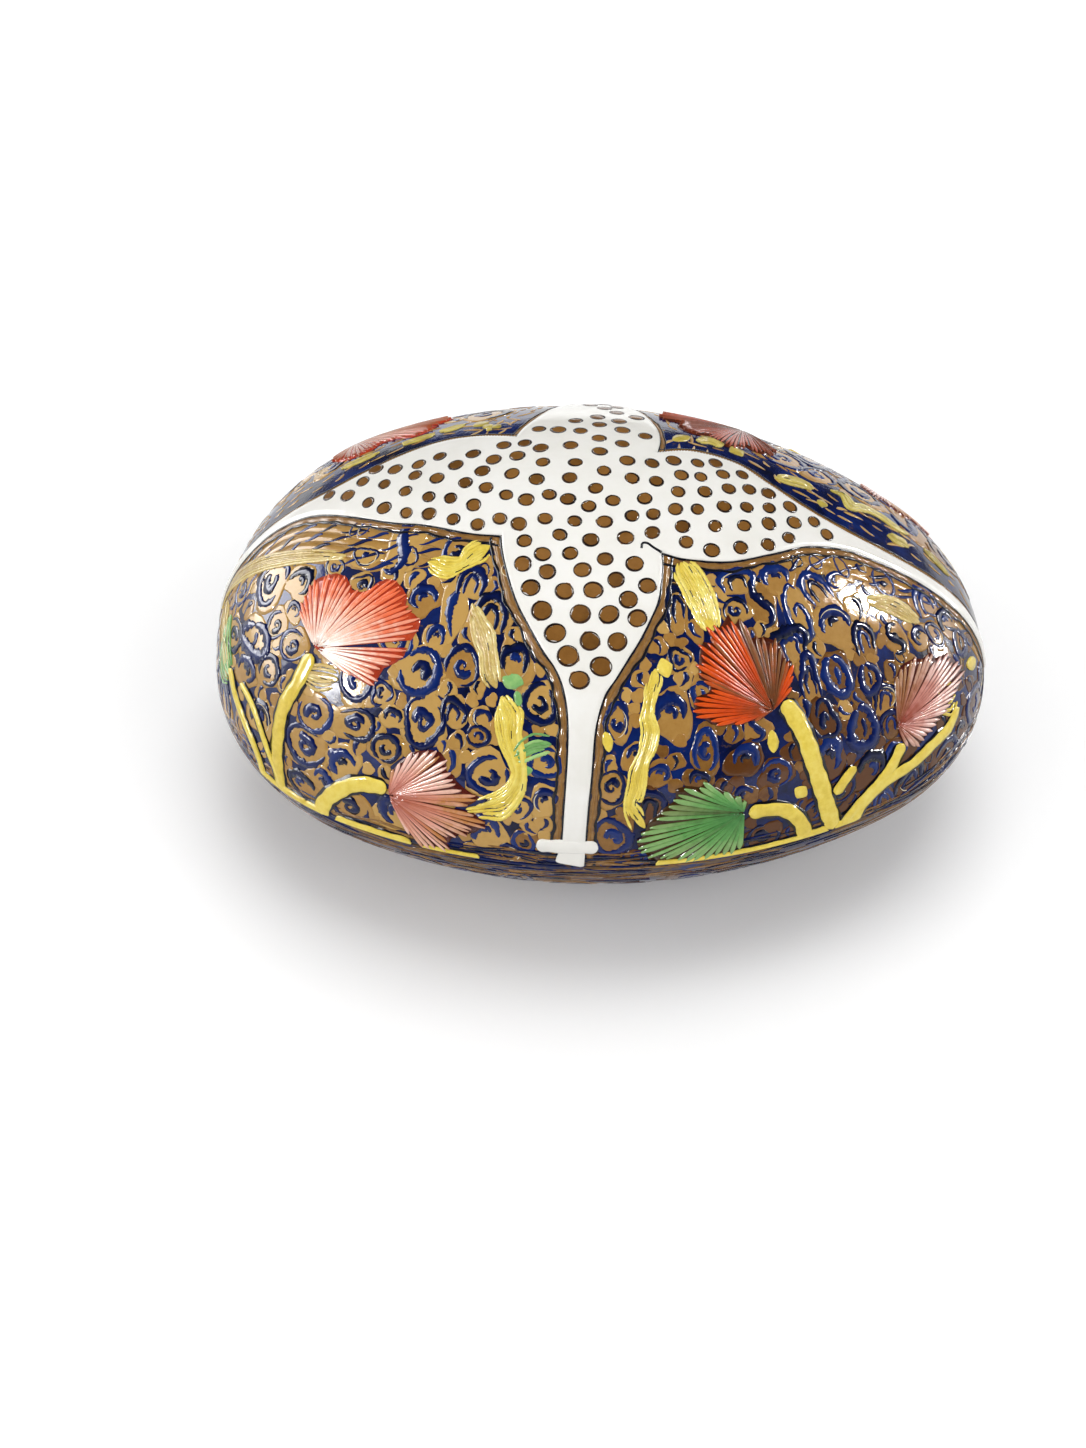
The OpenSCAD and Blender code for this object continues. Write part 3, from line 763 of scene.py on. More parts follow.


# Chinar leaves. Each is a stalk and the line of its tips in plan, going round once; the third number is how far
# the ridge leans to the bright pot, and None is a gap where the ground shows. muted and bright run from the
# stalk to the tips, groove is the dark between the ridges, on the bed under them and, as painted shade, down
# the sides of each ridge. The back leaves are fans with evenly spread lobes, or a front leaf mirrored.
leaves = {
    "Coral": {"stalk": (-34.4, -19.6), "ridges": 40, "node": ["leaf_coral"], "slot": "coral_chalk",
              "muted": ["#FCF4EE", "#FBE0D0", "#F8B498"], "bright": ["#FCEADD", "#F9B090", "#F0744A"],
              "groove": ["#8C3220", "#B83E22", "#D05A34"],
              "tips": [(-30.1, -23.0, 0.15), (-26.9, -24.9, 0.1), (-26.0, -24.4, 0.1), (-25.3, -23.6, 0.15),
                       (-23.6, -23.3, 0.25), (-22.7, -22.8, 0.45), (-22.4, -22.1, 0.5),
                       None, (-21.9, -21.4, 0.3), (-21.1, -20.3, 0.45), (-20.9, -19.5, 0.4),
                       (-21.8, -18.6, 0.5), (-23.1, -17.9, 0.6), (-22.8, -16.6, 0.9), (-23.6, -15.3, 1),
                       (-24.6, -14.2, 1), (-25.8, -13.8, 0.95), (-27.1, -14.1, 0.8), (-27.7, -14.8, 0.7),
                       (-28.9, -14.8, 0.6), (-30.1, -14.3, 0.5), (-31.1, -12.4, 0.6), (-32.5, -11.5, 0.7),
                       (-33.9, -11.4, 0.6), (-35.1, -11.4, 0.5), (-36.1, -12.5, 0.45), (-36.8, -13.9, 0.5),
                       (-37.1, -15.0, 0.5)]},
    "Rose": {"stalk": (-24.3, -32.5), "ridges": 31, "node": ["leaf_rose"], "slot": "rose_chalk",
             "muted": ["#C07060", "#E8AA98", "#F6C8B8"], "bright": ["#A8503A", "#CE8266", "#C08048"],
             "groove": ["#2E0E0C", "#501A14", "#6A2A20"],
             "tips": [(-22.5, -33.9, 0.2), (-20.6, -34.6, 0.3), (-18.9, -35.0, 0.4), (-17.2, -35.4, 0.3),
                      (-16.5, -35.3, 0.5), (-15.3, -35.4, 0.4), (-13.3, -35.6, 0.4), (-11.9, -35.5, 0.7),
                      (-13.6, -34.9, 0.6), None, (-14.4, -34.6, 0.7), (-12.6, -34.4, 0.9), (-14.7, -33.7, 0.2),
                      (-15.7, -33.2, 0.2), (-15.9, -32.9, 0.3), (-16.9, -32.5, 0.2), (-16.9, -31.9, 0.2),
                      (-17.6, -31.3, 0.5), (-18.8, -31.0, 0.3), (-20.9, -30.8, 0.1), (-22.9, -31.1, 0.2),
                      (-23.7, -31.4, 0.4), (-24.2, -31.8, 0.5)]},
    "Orange": {"stalk": (23.0, -25.0), "ridges": 38, "node": ["leaf_orange"], "slot": "orange_chalk",
               "muted": ["#6A3C1A", "#7C4A26", "#80522C"], "bright": ["#8E3E16", "#CE460C", "#DE5210"],
               "groove": ["#2C1208", "#4E1C0A", "#702A0C"],
               "tips": [(25.0, -23.1, 0.9), (25.4, -21.1, 1), (25.1, -19.7, 1), (24.4, -20.2, 0.2),
                        (24.3, -19.6, 0.1), (23.6, -18.5, 0.1), (22.7, -18.4, 0.15), (21.7, -18.3, 0.1),
                        (20.5, -18.8, 0.15), (19.4, -18.9, 0.1), (18.9, -17.3, 0.1), (18.4, -17.0, 0.1),
                        (17.8, -18.2, 0.3), (17.0, -16.9, 0.8), (16.3, -18.4, 0.95), (14.7, -19.2, 0.9),
                        (15.2, -20.5, 0.3), (14.1, -20.6, 1), (13.7, -21.6, 0.8), (13.7, -22.8, 0.9),
                        (13.7, -23.6, 0.4), (13.8, -24.4, 0.4), (14.9, -24.1, 0.2), (15.0, -24.9, 0.5),
                        (15.2, -25.3, 1), (13.6, -25.9, 1), (13.2, -26.7, 1), (13.8, -27.6, 1),
                        (14.7, -27.6, 0.8), (15.4, -27.9, 0.8), (17.8, -27.5, 0.8), (19.6, -26.8, 0.5),
                        (21.5, -26.2, 0.2)]},
    "Plum": {"stalk": (39.0, -20.3), "ridges": 29, "node": ["leaf_plum"], "slot": "plum_chalk",
             "muted": ["#8A4C30", "#9C6844", "#AC7E58"], "bright": ["#A04E3C", "#CC8A7C", "#E4B8AC"],
             "groove": ["#34120C", "#501E16", "#662C22"],
             "tips": [(40.1, -21.2, 0.5), (42.1, -20.1, 0.5), (42.7, -19.3, 0.6), (43.4, -18.4, 0.8),
                      (44.0, -17.6, 0.9), (44.7, -16.6, 1), (45.5, -15.2, 1), (45.9, -14.5, 1),
                      (46.6, -13.2, 1), (47.4, -11.4, 1), (47.9, -9.3, 1), (46.1, -9.5, 0.9),
                      (44.9, -10.3, 0.9), (43.8, -11.5, 0.7), (43.2, -11.2, 0.5), (42.2, -12.6, 0.3),
                      (40.8, -13.4, 0.1), (39.7, -14.4, 0.1), (39.0, -15.4, 0.05), (38.7, -16.2, 0.1),
                      (38.5, -17.1, 0.1)]},
    "Green": {"stalk": (20.0, -32.2), "ridges": 27, "node": ["leaf_green"], "slot": "green_chalk",
              "muted": ["#44542A", "#5A7440", "#7C9058"], "bright": ["#428040", "#62A054", "#86B06A"],
              "groove": ["#2A1A0A", "#40280F", "#4E3A1A"],
              "tips": [(20.7, -31.7, 0.6), (18.9, -31.8, 0.7), (17.0, -31.9, 0.8), (15.2, -31.9, 0.9),
                       (14.5, -32.3, 0.8), (13.0, -32.5, 0.8), (11.5, -32.9, 0.8), (11.6, -33.5, 0.7),
                       (10.1, -34.1, 0.2), (9.2, -34.6, 0.5), (8.3, -34.9, 0.7), (8.0, -35.3, 0.6),
                       (7.0, -35.8, 0.8), (9.5, -35.7, 0.7), (10.5, -35.5, 0.5), (12.6, -35.3, 0.8),
                       (13.8, -35.1, 0.9), (15.7, -34.6, 0.8), (18.3, -33.7, 0.8), (19.8, -33.2, 0.7),
                       (19.8, -32.9, 0.6)]},
    "BackCoral": {"mirrored": "Coral", "node": ["leaves_back_left"],
                  "muted": ["#D8B8A0", "#C89A80", "#B87C60"], "bright": ["#C89A80", "#B46E50", "#A0522E"]},
    "BackRose": {"mirrored": "Rose", "node": []},
    "BackOrange": {"stalk": (18, 22), "ridges": 46,
                   "fan": {"turn": 160, "size": 12.4, "spread": 150, "lobes": 5},
                   "node": ["leaves_back_right"], "slot": "orange_chalk",
                   "muted": ["#5E3418", "#7A3A24", "#84442E"], "bright": ["#7E3C1C", "#A4442E", "#B05238"],
                   "groove": ["#3C1C10", "#54220F", "#7A3214"]},
    "BackPlum": {"stalk": (37, 21), "ridges": 34,
                 "fan": {"turn": -120, "size": 11.2, "spread": 120, "lobes": 4},
                 "node": [], "slot": "plum_chalk",
                 "muted": ["#A0623F", "#AC7850", "#B98C62"], "bright": ["#B0604A", "#DB9C8E", "#F0C9BE"],
                 "groove": ["#4E241C", "#6E3226", "#84463A"]},
}
# bed is the ground under the ridges, as shares of the way out and lifts. share and half say how much of its
# room a ridge fills, and between which half widths. mirrorShift moves the mirrored leaves towards the front.
leafForm = {
    "bed": [(0.0, 0.2), (0.3, 0.2), (0.6, 0.2), (0.9, 0.18), (1.0, 0.1), (1.0, pressed)], "bedSteps": 80,
    "lift": 0.2, "crown": 0.18, "share": 0.44, "half": (0.19, 0.5), "mirrorShift": 0.4,
}


# The tips of a leaf as one or more runs of points in space, with how bright each is
def leafRuns(leaf):
    if "fan" in leaf:
        fan = leaf["fan"]
        centre, (down, right, out) = lidPlace(*leaf["stalk"])
        share = np.linspace(0, 1, 80)
        lobe = share * fan["lobes"]
        within = np.abs(lobe - np.floor(np.minimum(lobe, fan["lobes"] - 0.01)) - 0.5) * 2
        reach = fan["size"] * (0.76 + 0.24 * np.sqrt(1 - within ** 2)) * (1 - 0.2 * np.abs(2 * share - 1) ** 2)
        angle = math.radians(fan["turn"]) + (share - 0.5) * math.radians(fan["spread"])
        run = centre + np.outer(np.cos(angle) * reach, down) + np.outer(np.sin(angle) * reach, right)
        return centre, [(run, 0.5 + 0.5 * np.sin(share * 11))]
    centre = lidPlace(*leaf["stalk"])[0]
    runs, part = [], []
    for tip in [*leaf["tips"], None]:
        if tip is not None:
            part.append((*lidPlace(tip[0], tip[1])[0], tip[2]))
            continue
        whole = np.array(part)
        runs.append((whole[:, :3], whole[:, 3]))
        part = []
    return centre, runs


# A leaf: a flat bed, and ridges of paste from the stalk to the tips, spread by how far the tips go round it
def buildLeaf(name, leaf):
    steps, bedRows = leafForm["bedSteps"], leafForm["bed"]
    centre, runs = leafRuns(leaf)
    bed, ridges = newSheet(ontoLid), newSheet(ontoLid)
    sizes = []
    for tips, tint in runs:
        arm = tips - centre
        step = np.diff(tips, axis=0)
        middle = (arm[1:] + arm[:-1]) / 2
        middle /= np.linalg.norm(middle, axis=1)[:, None]
        onward = (step * middle).sum(1)[:, None] * middle
        sizes.append(np.linalg.norm(step - onward, axis=1) + 0.12 * np.linalg.norm(onward, axis=1))
    total = sum(size.sum() for size in sizes)
    for (tips, tint), size in zip(runs, sizes):
        at = np.concatenate([[0], np.cumsum(size)])
        edge = np.linspace(0, at[-1], steps)
        line = np.stack([np.interp(edge, at, tips[:, k]) for k in range(3)], 1)
        points = np.concatenate([centre + (line - centre) * part for part, high in bedRows])
        addPatch(bed, points, np.repeat([high for part, high in bedRows], steps),
                 [gridFaces(len(bedRows), steps)], 0.5, np.repeat([part for part, high in bedRows], steps))
        count = max(round(leaf["ridges"] * at[-1] / total), 3)
        spacing = at[-1] / count
        for k in range(count):
            here = (k + 0.5 + dice.normal(0, 0.1)) * spacing
            tip = np.array([np.interp(here, at, tips[:, j]) for j in range(3)])
            reach = np.linalg.norm(tip - centre)
            t = np.linspace(dice.uniform(0.02, 0.16), dice.uniform(0.92, 1.04), 16)
            bend = np.cross(tip - centre, [0, 0, 1]) / reach * dice.normal(0, 0.25)
            path = centre + np.outer(t, tip - centre) + np.outer(t * (1 - t), bend)
            half = min(max(spacing * leafForm["share"], leafForm["half"][0]), leafForm["half"][1])
            half *= dice.uniform(0.8, 1.1)
            width = half * (0.26 + 0.74 * t ** 0.8) * np.sqrt(np.clip((t[-1] + 0.012 - t) / 0.12, 0, 1))
            # the ridge's edges darken: painted shade of the rounded paste
            addStroke(ridges, path, np.maximum(width, 0.02), leafForm["lift"], dice.uniform(0.42, 0.62),
                      across=5, crown=leafForm["crown"], edgeShade=0.4,
                      tint=np.interp(here, at, tint) + dice.normal(0, 0.12))
    ground = potPaint("chalkGroove" + name, *leaf["groove"], strokeShare=0.0, grain=1.5)
    sheetPiece("leafBed" + name, bed, ground, "lid")
    paste = leafPaste("chalkPasteTinted" + name, leaf["muted"], leaf["bright"], leaf["groove"][1])
    sheetPiece("leafRidges" + name, ridges, paste, "lid", leaf["node"])


for name, leaf in leaves.items():
    if "mirrored" in leaf:
        other, shift = leaves[leaf["mirrored"]], leafForm["mirrorShift"]
        tips = [tip if tip is None else (tip[0], -tip[1] - shift, tip[2]) for tip in other["tips"]]
        leaf = {**other, **leaf, "stalk": (other["stalk"][0], -other["stalk"][1] - shift), "tips": tips}
    buildLeaf(name, leaf)
print("leaves laid on:", len(leaves))

# Stems of yellow paste: guide points in plan, and the half width in millimetres
branches = {
    "FrontRight": {"node": ["branch_front_right"], "stems": [
        ([(31.6, -28.4), (30.5, -28.4), (28.8, -27.4), (27.3, -25.9), (25.6, -24.6), (24.3, -23.9)], 1.1),
        ([(31.2, -29.0), (29.0, -29.9), (27.2, -30.2), (25.2, -30.6), (22.7, -31.4), (20.7, -32.1)], 0.95),
        ([(31.9, -28.3), (34.0, -27.0), (36.3, -25.3), (38.5, -23.3), (40.0, -21.1)], 0.8),
        ([(31.6, -27.6), (32.7, -26.5), (33.9, -25.3)], 0.7),
        ([(33.2, -27.8), (35.8, -25.8), (38.4, -23.8), (42.1, -20.8), (45.9, -16.3), (47.4, -13.2)], 0.8),
        ([(30.9, -29.3), (26.5, -31.2), (23.4, -32.3), (20.8, -33.3), (16.3, -34.6), (9.4, -36.0)], 0.6)]},
    "FrontLeft": {"node": ["branch_front_left"], "stems": [
        ([(-35.8, -29.1), (-37.5, -28.1), (-39.0, -27.0), (-39.8, -25.6), (-39.4, -24.2), (-38.6, -23.0),
          (-36.8, -22.0), (-35.6, -20.8), (-34.9, -20.0)], 1.0),
        ([(-36.4, -28.9), (-35.0, -29.5), (-32.7, -30.2), (-28.7, -31.0), (-26.5, -31.6),
          (-24.6, -32.2)], 1.05),
        ([(-32.0, -31.1), (-30.0, -31.9), (-27.4, -32.8), (-24.5, -33.8), (-21.8, -34.6)], 0.85),
        ([(-20.3, -35.0), (-16.9, -35.7), (-12.9, -36.2)], 0.5),
        ([(-33.6, -30.1), (-35.9, -29.0), (-39.1, -27.0), (-41.5, -24.8), (-43.8, -21.6), (-45.3, -19.1),
          (-46.6, -16.4), (-47.5, -13.6)], 0.7),
        ([(-39.4, -26.4), (-41.0, -24.4), (-42.2, -22.4), (-43.6, -19.8), (-45.4, -16.9)], 0.5)]},
    "BackRight": {"node": ["branch_back_right"], "stems": [
        ([(31.6, 28.1), (29.5, 27.0), (27.2, 25.4), (24.9, 23.4)], 1.05),
        ([(31.0, 28.8), (28.5, 29.1), (25.0, 29.7), (22.0, 30.1), (19.6, 29.9)], 0.95),
        ([(32.2, 28.1), (34.5, 26.2), (37.2, 23.7), (39.2, 21.5)], 0.85),
        ([(33.8, 27.3), (37.0, 25.0), (41.0, 21.5), (43.6, 18.7), (46.4, 15.0)], 0.75)]},
    "BackLeft": {"node": ["branch_back_left"], "stems": [
        ([(-37.4, 26.9), (-38.6, 25.1), (-38.8, 23.0), (-37.4, 20.9), (-34.6, 18.9)], 1.05),
        ([(-36.1, 28.4), (-34.0, 29.1), (-30.5, 30.1), (-27.5, 30.7), (-24.8, 31.3)], 1.05),
        ([(-31.5, 31.1), (-28.5, 32.3), (-25.0, 33.3), (-21.9, 34.1)], 0.6)]},
}
# Lifts of the paste and of the dark paint that stands out from under it
branchForm = {"lift": 0.22, "crown": 0.14, "outline": 0.32, "outlineLift": 0.12}

for name, branch in branches.items():
    raised, outline = newSheet(ontoLid), newSheet(ontoLid)
    for guides, half in branch["stems"]:
        line = draped(guides, 0.22)
        addStroke(raised, line, roundEnded(line, half), branchForm["lift"], dice.uniform(0.3, 0.7), across=6,
                  crown=branchForm["crown"])
        addStroke(outline, line, roundEnded(line, half + branchForm["outline"]), branchForm["outlineLift"],
                  dice.uniform(0.1, 0.5))
    sheetPiece("branch" + name, raised, paints["yellow"], "lid", branch["node"])
    sheetPiece("branchOutline" + name, outline, paints["ink"], "lid")
print("branches laid on:", len(branches))

# Ragged touches of thick paint between the scrolls: plan points with the half width at each. scratches is how
# many dark lines are drawn into each wide one.
touches = {
    "lidYellowTouches": {"paint": "yellow", "scratches": 3, "runs": [
        [(-20.6, -12.4, 0.5), (-19.4, -13.0, 1.3), (-17.8, -13.5, 1.5), (-16.2, -13.1, 1.0),
         (-15.2, -12.2, 1.6), (-14.0, -11.5, 1.7), (-12.9, -11.0, 0.8)],
        [(-10.2, -27.6, 0.6), (-9.9, -28.3, 1.2), (-9.2, -29.6, 1.9), (-8.9, -31.1, 1.4), (-8.0, -32.6, 1.0),
         (-7.9, -33.8, 1.0), (-9.5, -34.7, 0.8), (-12.0, -34.8, 0.5), (-14.4, -34.7, 0.3)],
        [(10.9, -11.7, 0.9), (11.4, -12.6, 1.7), (12.4, -14.0, 1.9), (13.6, -16.0, 1.9), (14.6, -18.0, 1.5),
         (15.3, -19.2, 0.8)],
        [(8.4, -24.2, 0.5), (8.4, -25.1, 0.9), (8.0, -26.4, 0.8), (7.8, -27.6, 0.6), (7.7, -28.6, 0.9),
         (8.1, -29.6, 1.1), (7.9, -30.6, 1.0), (7.4, -31.6, 0.7), (6.8, -32.9, 1.1), (6.5, -33.7, 1.0),
         (6.0, -34.5, 0.8), (7.2, -35.0, 0.8), (7.9, -35.2, 0.4)],
        [(9.1, -23.1, 0.5), (9.5, -23.9, 1.1), (10.0, -24.8, 0.6)],
        [(2.6, -30.2, 0.5), (3.0, -30.9, 0.7), (3.2, -31.6, 0.3)],
        [(23.0, -26.6, 0.4), (23.3, -27.4, 0.8), (23.4, -28.1, 0.4)],
        [(26.4, -29.3, 0.6), (27.2, -29.2, 1.0), (27.9, -29.1, 0.7)],
        [(48.6, -7.9, 0.6), (49.4, -6.6, 1.0), (50.0, -5.3, 0.6)],
        [(44.6, -15.6, 0.5), (45.8, -14.0, 1.1), (46.8, -12.4, 0.7)]]},
    "lidGoldenTouches": {"paint": "paleGold", "scratches": 2, "runs": [
        [(-14.6, -18.2, 0.4), (-13.6, -20.4, 1.0), (-12.8, -22.0, 1.4), (-12.2, -23.6, 1.1),
         (-11.8, -25.4, 1.2), (-10.9, -26.9, 0.6)],
        [(-50.6, -2.2, 0.5), (-49.2, -1.4, 0.9), (-46.9, -2.6, 1.1), (-43.6, -4.4, 1.1), (-39.8, -6.3, 1.0),
         (-35.6, -8.0, 0.8), (-31.5, -9.4, 0.4)],
        [(-49.6, -3.0, 0.5), (-49.6, -5.2, 0.8), (-49.4, -8.0, 0.7), (-48.9, -11.0, 0.6), (-48.0, -14.0, 0.4)],
        [(-35.6, -21.6, 0.7), (-33.6, -22.6, 1.2), (-31.2, -23.4, 0.8)],
        [(34.6, -9.4, 0.6), (37.0, -8.6, 1.2), (39.4, -8.4, 1.3), (41.6, -8.6, 0.7)]]},
    "lidOliveTouches": {"paint": "olive", "scratches": 1, "runs": [
        [(9.0, 10.9, 0.5), (10.0, 12.0, 1.0), (11.1, 13.0, 0.6)],
        [(12.2, 11.9, 0.6), (13.6, 12.9, 1.1), (14.9, 12.2, 0.8), (14.6, 11.4, 0.4)],
        [(16.7, 12.6, 0.5), (17.4, 11.4, 1.3), (18.1, 10.4, 0.7)],
        [(22.4, 6.9, 0.5), (24.2, 7.4, 1.2), (26.2, 7.6, 1.1), (27.6, 7.2, 0.5)],
        [(28.0, 4.6, 0.8), (28.7, 4.4, 1.0), (29.4, 4.3, 0.8)],
        [(29.9, 8.5, 0.4), (31.6, 8.7, 0.7), (32.6, 6.6, 1.3), (34.6, 7.5, 0.9), (36.6, 7.4, 0.7),
         (38.8, 6.4, 0.7), (40.6, 6.5, 0.4)],
        [(37.6, 3.8, 0.5), (38.6, 3.4, 0.9), (39.6, 3.4, 0.9), (40.4, 3.0, 0.4)],
        [(42.6, 5.2, 0.4), (44.4, 4.2, 0.6), (46.2, 3.4, 0.4)],
        [(-17.6, 14.0, 0.8), (-16.6, 14.6, 1.3), (-15.6, 14.9, 0.9)], [(-16.2, 13.0, 0.8), (-15.0, 13.7, 1.3)],
        [(-14.9, 12.7, 0.7), (-13.9, 13.5, 1.1)], [(-15.6, 12.0, 0.6), (-15.0, 12.6, 0.7)],
        [(-22.0, 13.4, 0.4), (-20.4, 14.2, 0.6), (-18.8, 15.4, 0.4)],
        [(-26.8, 11.4, 0.4), (-24.6, 12.2, 0.7), (-22.6, 13.0, 0.4)],
        [(-34.8, 8.6, 0.4), (-32.4, 9.4, 0.6), (-29.8, 10.6, 0.5)]]},
    "lidGreenTouches": {"paint": "leafGreen", "scratches": 1, "runs": [
        [(-10.2, -25.9, 0.4), (-9.4, -26.3, 1.0), (-8.3, -26.4, 1.0), (-7.6, -26.6, 0.5)],
        [(-8.4, -27.2, 0.5), (-8.0, -28.5, 0.5)],
        [(-8.4, -32.2, 0.4), (-7.4, -31.9, 0.8), (-5.9, -31.5, 0.9), (-3.9, -31.4, 0.6)],
        [(-7.9, -33.6, 0.5), (-7.2, -33.2, 0.8), (-6.1, -33.1, 0.5)],
        [(-48.4, -7.1, 0.5), (-48.9, -9.5, 1.1), (-48.4, -12.2, 1.0), (-47.4, -14.4, 0.5)]]},
}
# A touch shorter than blob half widths is one round blob. The rest are a narrower core with hairs on it.
touchForm = {"step": 0.16, "blob": 3.2, "blobWidth": 0.95, "core": 0.62, "lift": 0.12, "hairLift": 0.15,
             "scratchLift": 0.215}

for name, touch in touches.items():
    sheet, marks = newSheet(ontoLid), newSheet(ontoLid)
    for run in touch["runs"]:
        guides = np.array(run)
        line = draped(guides[:, :2], touchForm["step"])
        share = np.linspace(0, 1, len(line))
        along = runAlong(guides[:, :2])
        half = np.interp(share, along / along[-1], guides[:, 2])
        count = len(line)
        ends = np.minimum(share, 1 - share) * count * touchForm["step"] / np.maximum(half, 0.2)
        short = along[-1] < touchForm["blob"] * guides[:, 2].max()
        fill = touchForm["blobWidth"] if short else touchForm["core"]
        width = fill * half * np.sqrt(np.clip(ends, 0.02, 1))
        addStroke(sheet, line, np.maximum(width, 0.03), touchForm["lift"], dice.uniform(0.3, 0.6), across=4)
        if short:
            continue
        # hairs of a nearly dry brush, side by side, each lifting off sooner or later
        ahead = np.gradient(guides[:, :2], axis=0)
        beside = np.column_stack([-ahead[:, 1], ahead[:, 0]]) / np.linalg.norm(ahead, axis=1)[:, None]
        for lane in np.linspace(-0.85, 0.85, max(round(guides[:, 2].max() * 6), 3)):
            hair = draped(guides[:, :2] + beside * (guides[:, 2] * (lane + dice.normal(0, 0.05)))[:, None], 0.2)
            first, last = (np.array([dice.uniform(0, 0.16), dice.uniform(0.82, 1)]) * len(hair)).astype(int)
            hair = hair[first:last]
            if len(hair) < 5:
                continue
            width = dice.uniform(0.13, 0.24) * (1 + dice.normal(0, 0.12, len(hair)))
            width *= np.sqrt(np.clip(np.minimum(np.arange(len(hair)), np.arange(len(hair))[::-1]) / 3, 0.1, 1))
            addStroke(sheet, hair, np.maximum(width, 0.03), touchForm["hairLift"] + dice.uniform(0, 0.02),
                      dice.uniform(0.2, 1))
        for turn in range(touch["scratches"] if half.max() > 0.9 else 0):
            first = dice.integers(2, max(count - 9, 3))
            part = line[first:first + 7] + dice.normal(0, half.max() * 0.4, 3)
            addStroke(marks, part, 0.05, touchForm["scratchLift"], dice.uniform(0, 0.6), skirt=0.1)
    sheetPiece(name, sheet, paints[touch["paint"]], "lid")
    sheetPiece(name.replace("Touches", "Scratches"), marks, paints["ink"], "lid")
print("touches laid on")


